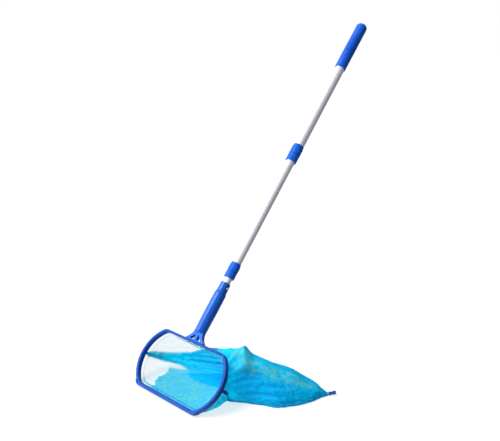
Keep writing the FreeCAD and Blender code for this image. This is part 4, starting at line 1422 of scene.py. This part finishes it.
@dataclass(frozen=True)
class MouthTrims:
    """The folded binding round the net's mouth, and the row of stitches that holds the net's own fold.

    Attributes:
        at_bars: how far inside the hoop's outline the binding's middle runs at the bars.
        at_sides: how far inside it runs at the sides.
        band: half the binding's width.
        deep: half its depth.
        back: how far behind the hoop's mid-depth its middle lies.
        steps: sections round the mouth.
        points: points of one section.
    """

    bag: NetBag
    finishes: Finishes
    at_bars: float = 3.4 * MM
    at_sides: float = 4.7 * MM
    band: float = 1.2 * MM
    deep: float = 1.65 * MM
    back: float = 9.2 * MM
    steps: int = 420
    points: int = 14

    def _ring(self, angle: float) -> list[Vector]:
        """The section of the binding at an angle round the mouth: a flat loop, gathered a little."""
        ripple = noise.noise((math.cos(angle) * 17, math.sin(angle) * 17, 1.0))
        ring = []
        for turn in np.linspace(0, 2 * math.pi, self.points, endpoint=False):
            flat = abs(math.cos(turn)) ** 0.6 * math.copysign(1, math.cos(turn))
            inset = self.band * (1 + 0.12 * ripple) * flat
            back = self.back + self.deep * (1 + 0.06 * ripple) * math.sin(turn)
            ring.append(OUTLINE.point(angle, self.at_bars + inset, self.at_sides + inset, back))
        return ring

    def hem(self) -> list[bpy.types.Object]:
        """The binding, and its stitches on the side that faces into the bag's mouth."""
        angles = np.linspace(0, 2 * math.pi, self.steps, endpoint=False)
        grid = np.array([[tuple(point) for point in self._ring(angle)] for angle in angles])
        faces = grid_faces(self.steps, self.points, closed=True)
        last = (self.steps - 1) * self.points
        faces += [(last + spot, last + (spot + 1) % self.points, (spot + 1) % self.points, spot)
                  for spot in range(self.points)]
        piece = mesh_of("mouth_hem", grid.reshape(-1, 3), faces)
        lay_tape_map(piece, grid, closed=True)
        face_outwards(piece)
        smooth(piece, 70)
        put_on(piece, self.finishes.binding, Slot.BINDING, "bag_hem")
        inset = self.band * 1.02
        line = np.array([tuple(OUTLINE.point(angle, self.at_bars + inset, self.at_sides + inset, self.back))
                         for angle in np.append(angles, 0.0)])
        inward = np.array(HEAD.point(0.0, self.back, HEAD.height / 2)) - line
        thread = Stitches(3.0 * MM, 1.6 * MM).row("mouth_hem_stitches", line, inward)
        put_on(thread, self.finishes.net_thread, Slot.BINDING)
        return [piece, thread]

    def fold(self) -> bpy.types.Object:
        """The row of stitches that holds the net's folded edge, a little behind the mouth."""
        row = int(np.searchsorted(self.bag.shares, 0.033))
        inward = -self.bag.outward[row]
        line = self.bag.points[row] + inward * 0.25 * MM
        thread = Stitches(3.0 * MM, 1.8 * MM).row("net_fold_stitches", np.vstack([line, line[:1]]),
                                                  np.vstack([inward, inward[:1]]))
        return put_on(thread, self.finishes.net_thread, Slot.NET)


@dataclass(frozen=True)
class TailTab:
    """The tab at the tail: webbing folded round on itself, with the net's gathered end sewn between.

    Attributes:
        start: where its open end lies, along the bag's heading.
        length: from that end to the fold.
        width: the webbing's width.
        thick: its thickness.
        rise: how far it points up from the floor, as an angle.
        fold: the radius of its fold.
        steps: sections of each layer.
    """

    bag: NetBag
    finishes: Finishes
    start: float = 0.3985
    length: float = 19.0 * MM
    width: float = 12.0 * MM
    thick: float = 1.2 * MM
    rise: float = math.radians(17.0)
    fold: float = 1.5 * MM
    steps: int = 10

    def _path(self) -> list[tuple[float, float]]:
        """The webbing's middle line from its upper end out to the fold and back below."""
        reach = self.length - self.fold
        above = [(reach * step / self.steps, self._pinch(step / self.steps))
                 for step in range(self.steps + 1)]
        turns = np.linspace(math.pi / 2, -math.pi / 2, 9)[1:-1]
        bend = [(reach + self.fold * math.cos(turn), self.fold * math.sin(turn)) for turn in turns]
        below = [(ahead, -up) for ahead, up in reversed(above)]
        return above + bend + below

    def _pinch(self, share: float) -> float:
        """Half the gap between the two layers: round the net at first, then pinched by the sewing."""
        return self.fold * (1.25 - 0.85 * math.exp(-((share - 0.48) / 0.2) ** 2) - 0.25 * share)

    def _place(self) -> Matrix:
        """Turn and move from the tab's own axes to the bag's tail."""
        middle = np.array(HEAD.point(0.0, 0.0, HEAD.height / 2))
        spot = middle + self.bag.ahead * self.start
        spot[2] = self.fold * 1.25 + self.thick * 0.6 + 0.3 * MM
        turn = Matrix.Rotation(self.bag.heading, 4, "Z") @ Matrix.Rotation(-self.rise, 4, "Y")
        return Matrix.Translation(Vector(spot)) @ turn

    def make(self) -> list[bpy.types.Object]:
        """Build the tab and its box of stitches."""
        deselect_all()
        path = self._path()
        bpy.ops.mesh.primitive_grid_add(x_subdivisions=1, y_subdivisions=6, size=1.0)
        tab = bpy.context.object
        for vertex in tab.data.vertices:
            ahead, up = path[0] if vertex.co.x < 0 else path[1]
            vertex.co = (ahead, vertex.co.y * self.width, up)
        with editing(tab, "EDGE") as mesh:
            for edge in mesh.edges:
                edge.select_set(all(abs(vertex.co.x - path[1][0]) < 1e-6 for vertex in edge.verts))
            for (ahead, up), (last_ahead, last_up) in zip(path[2:], path[1:]):
                shift = (ahead - last_ahead, 0.0, up - last_up)
                bpy.ops.mesh.extrude_region_move(TRANSFORM_OT_translate={"value": shift})
        self._lay_map(tab, path)
        finish_with(tab, "SOLIDIFY", thickness=self.thick, offset=0.0)
        face_outwards(tab)
        round_edges(tab, 0.3 * MM, 2, over=50, sharp=50)
        tab.name = tab.data.name = "tail_webbing_tab"
        settle(tab, self._place())
        put_on(tab, self.finishes.webbing, Slot.TAB, "tail_tab")
        return [tab, self._box()]

    def _lay_map(self, tab: bpy.types.Object, path: list[tuple[float, float]]) -> None:
        """Give the webbing a UV map in metres along its path."""
        along = travelled(np.array(path))
        line = np.array(path)
        layer = tab.data.uv_layers.active or tab.data.uv_layers.new(name="tape")
        for loop in tab.data.loops:
            spot = tab.data.vertices[loop.vertex_index].co
            nearest = int(np.argmin(np.linalg.norm(line - (spot.x, spot.z), axis=1)))
            layer.data[loop.index].uv = (spot.y, along[nearest])

    def _box(self) -> bpy.types.Object:
        """A box of stitches with a cross in it, on the upper face."""
        low, high, half = self.length * 0.3, self.length * 0.68, self.width * 0.33
        corners = [(low, -half), (high, -half), (high, half), (low, half), (low, -half), (high, half)]
        rows = []
        for index, (first, last) in enumerate(zip(corners, corners[1:])):
            line = np.linspace((*first, 0.0), (*last, 0.0), 12)
            line[:, 2] = [self._pinch(spot / (self.length - self.fold)) + self.thick / 2
                          for spot in line[:, 0]]
            outward = np.tile((0.0, 0.0, 1.0), (len(line), 1))
            rows.append(Stitches(1.7 * MM, 0.7 * MM, 0.28 * MM).row(f"side_{index}", line, outward))
        thread = join(rows, "tail_tab_stitches")
        settle(thread, self._place())
        return put_on(thread, self.finishes.tab_thread, Slot.TAB)


# Rigid pieces of the head


@dataclass(frozen=True)
class FrontLip:
    """The strip under the lower bar, with rounded ends that follow the hoop's corners up.

    Attributes:
        half: half its length.
        rounding: how far from each end the rounding starts.
        straight: half the length of the hoop's straight bar.
        corner: the radius of the hoop's corners.
        least: how much of the section is left at the very ends.
        profile: its section, as back and up along the head's own axes, in millimetres.
    """

    finishes: Finishes
    half: float = 120.5 * MM
    rounding: float = 14.0 * MM
    straight: float = 103.1 * MM
    corner: float = 24.0 * MM
    least: float = 0.15
    profile: tuple[tuple[float, float], ...] = (
        (-5.74, 0.0), (-7.6, 1.76), (-7.6, 2.5), (-8.8, 2.5), (-8.8, -2.1), (-6.8, -4.2), (2.155, -4.2),
        (6.659, 0.0))

    def _stations(self) -> list[float]:
        """Places along the strip, closer together at its rounded ends."""
        end = [self.half - self.rounding * (1 - math.sin(turn)) for turn in np.linspace(0, math.pi / 2, 10)]
        middle = list(np.linspace(-end[0], end[0], 25)[1:-1])
        return [-place for place in reversed(end)] + middle + end

    def _depth(self, place: float) -> float:
        """How much of its section is left at a place: all in the middle, less at the rounded ends."""
        past = max(abs(place) - (self.half - self.rounding), 0.0) / self.rounding
        return max(math.sqrt(max(1 - past ** 2, 0.0)), self.least)

    def _lift(self, place: float) -> float:
        """How far the hoop's underside has risen at a place."""
        past = max(abs(place) - self.straight, 0.0)
        return self.corner - math.sqrt(self.corner ** 2 - past ** 2)

    def make(self) -> bpy.types.Object:
        """Build the strip."""
        deselect_all()
        stations = self._stations()
        count = len(self.profile)
        bpy.ops.mesh.primitive_circle_add(vertices=count, radius=0.01, fill_type="NGON")
        lip = bpy.context.object
        for vertex, (back, up) in zip(lip.data.vertices, self.profile):
            vertex.co = (stations[0], back * MM, up * MM)
        with editing(lip) as mesh:
            for face in mesh.faces:
                face.select_set(True)
            for last, place in zip(stations, stations[1:]):
                bpy.ops.mesh.extrude_region_move(TRANSFORM_OT_translate={"value": (place - last, 0.0, 0.0)})
        for vertex in lip.data.vertices:
            vertex.co = self._rounded(vertex.co, stations[0])
        face_outwards(lip)
        lip.data.transform(Matrix.Translation(HEAD.base) @ HEAD.turn)
        round_edges(lip, 0.45 * MM, 3, over=28, sharp=40)
        lip.name = lip.data.name = "rounded_front_lip"
        return put_on(lip, self.finishes.moulded, Slot.MOULDED, "front_lip_strip")

    def _rounded(self, spot: Vector, first: float) -> Vector:
        """Lift a point of the section and draw it in where the strip's ends are rounded."""
        depth = self._depth(spot.x) if abs(spot.x) < abs(first) - 1e-6 else self.least
        up = self._lift(spot.x) + (spot.z * depth if spot.z < 0 else spot.z * (0.4 + 0.6 * depth))
        inner = self.profile[1][0] * MM
        back = spot.y if spot.y > inner - 1e-6 else inner + (spot.y - inner) * (0.3 + 0.7 * depth)
        back = back if spot.z > -4.0 * MM or spot.y < 0 else spot.y + spot.z * (1 - depth) * -0.93
        return Vector((spot.x, back, up))


@dataclass(frozen=True)
class SocketScrews:
    """Two pan-head screws with a cross recess, up through the top bar into the socket's feet.

    Attributes:
        apart: half the distance between them.
        foot: how far up the pole the heads' undersides lie.
        pitch: from one turn of the thread to the next.
        waist: how much narrower the shank is between two turns, as a share.
        tip: the length of the plain end.
    """

    finishes: Finishes
    apart: float = 25.0 * MM
    foot: float = 160.2 * MM
    head_radius: float = 3.4 * MM
    head_height: float = 2.0 * MM
    shank_radius: float = 1.8 * MM
    length: float = 18.8 * MM
    pitch: float = 1.2 * MM
    waist: float = 0.8
    tip: float = 2.0 * MM

    def _cross(self) -> bpy.types.Object:
        """The cutter of the recess: two crossed wedges."""
        wedges = []
        for turn in (0.0, math.pi / 2):
            deselect_all()
            bpy.ops.mesh.primitive_cube_add(size=1.0, scale=(3.6 * MM, 0.75 * MM, 2.4 * MM),
                                            rotation=(0.0, 0.0, turn))
            wedge = bpy.context.object
            bpy.ops.object.transform_apply(rotation=True, scale=True)
            for vertex in wedge.data.vertices:
                if vertex.co.z > 0:
                    vertex.co.x *= 0.45
                    vertex.co.y *= 0.45
            wedges.append(wedge)
        finish_with(wedges[0], "BOOLEAN", object=wedges[1], operation="UNION", solver="EXACT")
        bpy.data.objects.remove(wedges[1])
        return wedges[0]

    def _one(self) -> bpy.types.Object:
        """One screw, its head down at the origin."""
        deselect_all()
        bpy.ops.mesh.primitive_cylinder_add(vertices=40, radius=self.head_radius, depth=self.head_height,
                                            location=(0.0, 0.0, self.head_height / 2))
        screw = bpy.context.object
        settle(screw, Matrix.Identity(4))
        with editing(screw, "FACE"):
            select_faces(screw, lambda face: face.normal.z < -0.9)
            for width, sink in ((0.5 * MM, -0.15 * MM), (0.9 * MM, -0.16 * MM)):
                bpy.ops.mesh.inset(thickness=width, depth=0.0)
                bpy.ops.transform.translate(value=(0.0, 0.0, sink))
            bpy.ops.mesh.select_all(action="DESELECT")
            select_faces(screw, lambda face: face.normal.z > 0.9)
            bpy.ops.mesh.inset(thickness=self.head_radius - self.shank_radius, depth=0.0)
            turns = int((self.length - self.head_height - self.tip) / self.pitch)
            thread = [(self.pitch * 0.5, self.waist), (self.pitch * 0.5, 1 / self.waist)] * turns
            for reach, width in [*thread, (self.tip, 0.2)]:
                bpy.ops.mesh.extrude_region_move(TRANSFORM_OT_translate={"value": (0.0, 0.0, reach)})
                bpy.ops.transform.resize(value=(width, width, 1.0))
        cutter = self._cross()
        finish_with(screw, "BOOLEAN", object=cutter, operation="DIFFERENCE", solver="EXACT")
        bpy.data.objects.remove(cutter)
        round_edges(screw, 0.18 * MM, 2, over=40, sharp=45)
        return screw

    def make(self) -> bpy.types.Object:
        """Build both screws as one piece."""
        screws = []
        for side, turn in ((-1, 0.4), (1, 1.1)):
            screw = self._one()
            place = Matrix.Translation((side * self.apart, 0.0, self.foot)) @ Matrix.Rotation(turn, 4, "Z")
            settle(screw, Matrix.Translation(HEAD.base) @ HEAD.turn @ place)
            screws.append(screw)
        return put_on(join(screws, "cross_head_screws"), self.finishes.steel, Slot.STEEL, "socket_screws")


# The studio


@dataclass(frozen=True)
class Studio:
    """Floor, light and camera.

    Attributes:
        target: the point on the pole that the photograph's fit is centred on.
        azimuth: the camera's bearing from that point, from the -Y axis.
        elevation: the camera's height above it, as an angle.
        away: the camera's distance from it.
        focal: the focal length in the render's pixels.
        width: the render's width in pixels.
        offset: where the target appears, right of and below the frame's middle, in pixels.
        sensor: the width of the camera's sensor, in millimetres.
    """

    target: Vector = Vector((0.0, 0.289, 0.315))
    azimuth: float = math.radians(42.0)
    elevation: float = math.radians(20.0)
    away: float = 1.681
    focal: float = 599.0
    width: float = 500.0
    offset: tuple[float, float] = (-11.4, 39.6)
    sensor: float = 36.0

    @property
    def toward(self) -> Vector:
        """The way from the object to the camera."""
        flat = math.cos(self.elevation)
        return Vector((math.sin(self.azimuth) * flat, -math.cos(self.azimuth) * flat,
                       math.sin(self.elevation)))

    def camera(self) -> None:
        """Set the camera where the photograph was taken from."""
        data = bpy.data.cameras.new("camera")
        data.sensor_width = self.sensor
        data.lens = self.focal / self.width * self.sensor
        data.shift_x = -self.offset[0] / self.width
        data.shift_y = self.offset[1] / self.width
        data.clip_end = 100.0
        camera = bpy.data.objects.new("camera", data)
        camera.location = self.target + self.toward * self.away
        aim(camera, self.toward)
        bpy.context.scene.camera = camera

    def floor(self) -> None:
        """Lay a plain pale floor."""
        deselect_all()
        bpy.ops.mesh.primitive_circle_add(vertices=96, radius=40.0, fill_type="NGON")
        floor = bpy.context.object
        floor.name = "studio_floor"
        shader = Shader("pale_floor")
        shader.set({"Roughness": 0.9, "Specular IOR Level": 0.0, "Emission Color": (0.88, 0.99, 1.0, 1.0),
                    "Emission Strength": 0.72})
        patches = shader.noise(shader.whole, 1.3, 2.0)
        shader.drive("Base Color", shader.mix(patches, (0.4, 0.33, 0.32), (0.42, 0.35, 0.34)))
        floor.data.materials.append(shader.material)
        floor.visible_diffuse = False
        floor.visible_glossy = False

    def light(self) -> None:
        """Light softly from the upper left, with a dim right side."""
        right = Vector((math.cos(self.azimuth), math.sin(self.azimuth), 0.0))
        up = Vector((0.0, 0.0, 1.0))
        key_from = (-right * 0.62 + up * 0.9 + self.toward * 0.12).normalized()
        key = bpy.data.lights.new("key", "SUN")
        key.energy = 2.4
        key.angle = math.radians(28.0)
        aim(bpy.data.objects.new("key", key), key_from)
        self._surroundings(right)

    def _surroundings(self, right: Vector) -> None:
        """Surroundings that are bright on the left and dim on the right, with a white backdrop.

        What the surfaces mirror is set apart: a tall soft box on the left, and grey far on the right.
        """
        world = bpy.data.worlds.new("surroundings")
        world.use_nodes = True
        world.cycles.sampling_method = "NONE"
        bpy.context.scene.world = world
        tree = world.node_tree
        tree.nodes.clear()
        way = add_node(tree, "TexCoord", {}).outputs["Generated"]
        side = add_node(tree, "VectorMath", {0: way, 1: -right}, operation="DOT_PRODUCT").outputs["Value"]
        lit = self._backdrop(tree, (0.97, 0.985, 1.0), side, (-0.35, 0.75), (0.16, 1.1))
        mirrored = self._backdrop(tree, (0.94, 0.95, 1.0), side, (-0.85, -0.4), (0.3, 0.95))
        soft_box = self._backdrop(tree, (0.8, 0.92, 1.0), side, (0.66, 0.9), (0.0, 2.6))
        both = add_node(tree, "AddShader", {0: mirrored, 1: soft_box}).outputs[0]
        seen = add_node(tree, "Background", {"Color": (1.0, 1.0, 1.0, 1.0)}).outputs[0]
        ray = add_node(tree, "LightPath", {})
        shown = lit
        for kind, other in (("Is Glossy Ray", both), ("Is Camera Ray", seen)):
            shown = add_node(tree, "MixShader", {0: ray.outputs[kind], 1: shown, 2: other}).outputs[0]
        add_node(tree, "OutputWorld", {"Surface": shown})

    @staticmethod
    def _backdrop(tree: bpy.types.NodeTree, colour: Colour, value: Socket, between: tuple[float, float],
                  strengths: tuple[float, float]) -> Socket:
        """A background whose strength changes smoothly as a value passes between two others."""
        amounts = dict(zip(("From Min", "From Max", "To Min", "To Max"), between + strengths))
        fade = add_node(tree, "MapRange", {"Value": value, **amounts}, interpolation_type="SMOOTHSTEP")
        backdrop = {"Color": (*colour, 1.0), "Strength": fade.outputs["Result"]}
        return add_node(tree, "Background", backdrop).outputs[0]

    def build(self) -> None:
        """Set up camera, floor and light."""
        self.camera()
        self.floor()
        self.light()
        bpy.context.scene.view_settings.view_transform = "Standard"


def dress_frame(finishes: Finishes) -> None:
    """Give every CAD node its finish."""
    wear = {
        finishes.moulded: ("hoop_frame", "front_lip_strip", "net_retaining_ring"),
        finishes.socket: ("head_socket",),
        finishes.collar: ("mid_lock_body", "mid_lock_nut", "outer_lock_body", "outer_lock_nut"),
        finishes.grip: ("handle_grip", "grip_end_cap"),
        finishes.aluminium: ("inner_tube", "mid_tube", "outer_tube"),
        finishes.nylon: ("inner_guide_bush", "mid_guide_bush", "mid_lock_collet", "outer_lock_collet"),
        finishes.steel: ("clip_spring", "socket_screws"),
        finishes.buttons: ("clip_button_left", "clip_button_right"),
        finishes.net: ("net_bag",),
        finishes.binding: ("bag_hem", "left_seam_binding", "right_seam_binding"),
        finishes.webbing: ("tail_tab",),
    }
    for material, nodes in wear.items():
        for node in nodes:
            dress(node, material)


def main() -> None:
    """Build the skimmer's looks in order."""
    logging.basicConfig(level=logging.INFO, format="%(name)s %(message)s")
    Studio().build()
    finishes = Finishes()
    dress_frame(finishes)
    FrontLip(finishes).make()
    SocketScrews(finishes).make()
    bag = NetBag(finishes)
    cloth = bag.make()
    mouth = MouthTrims(bag, finishes)
    sewn_on = mouth.hem() + [mouth.fold()]
    for side in ("right", "left"):
        trims = SeamTrims(bag, finishes, side)
        sewn_on += trims.binding() + trims.loop()
    sewn_on += TailTab(bag, finishes).make()


if __name__ == "__main__":
    main()
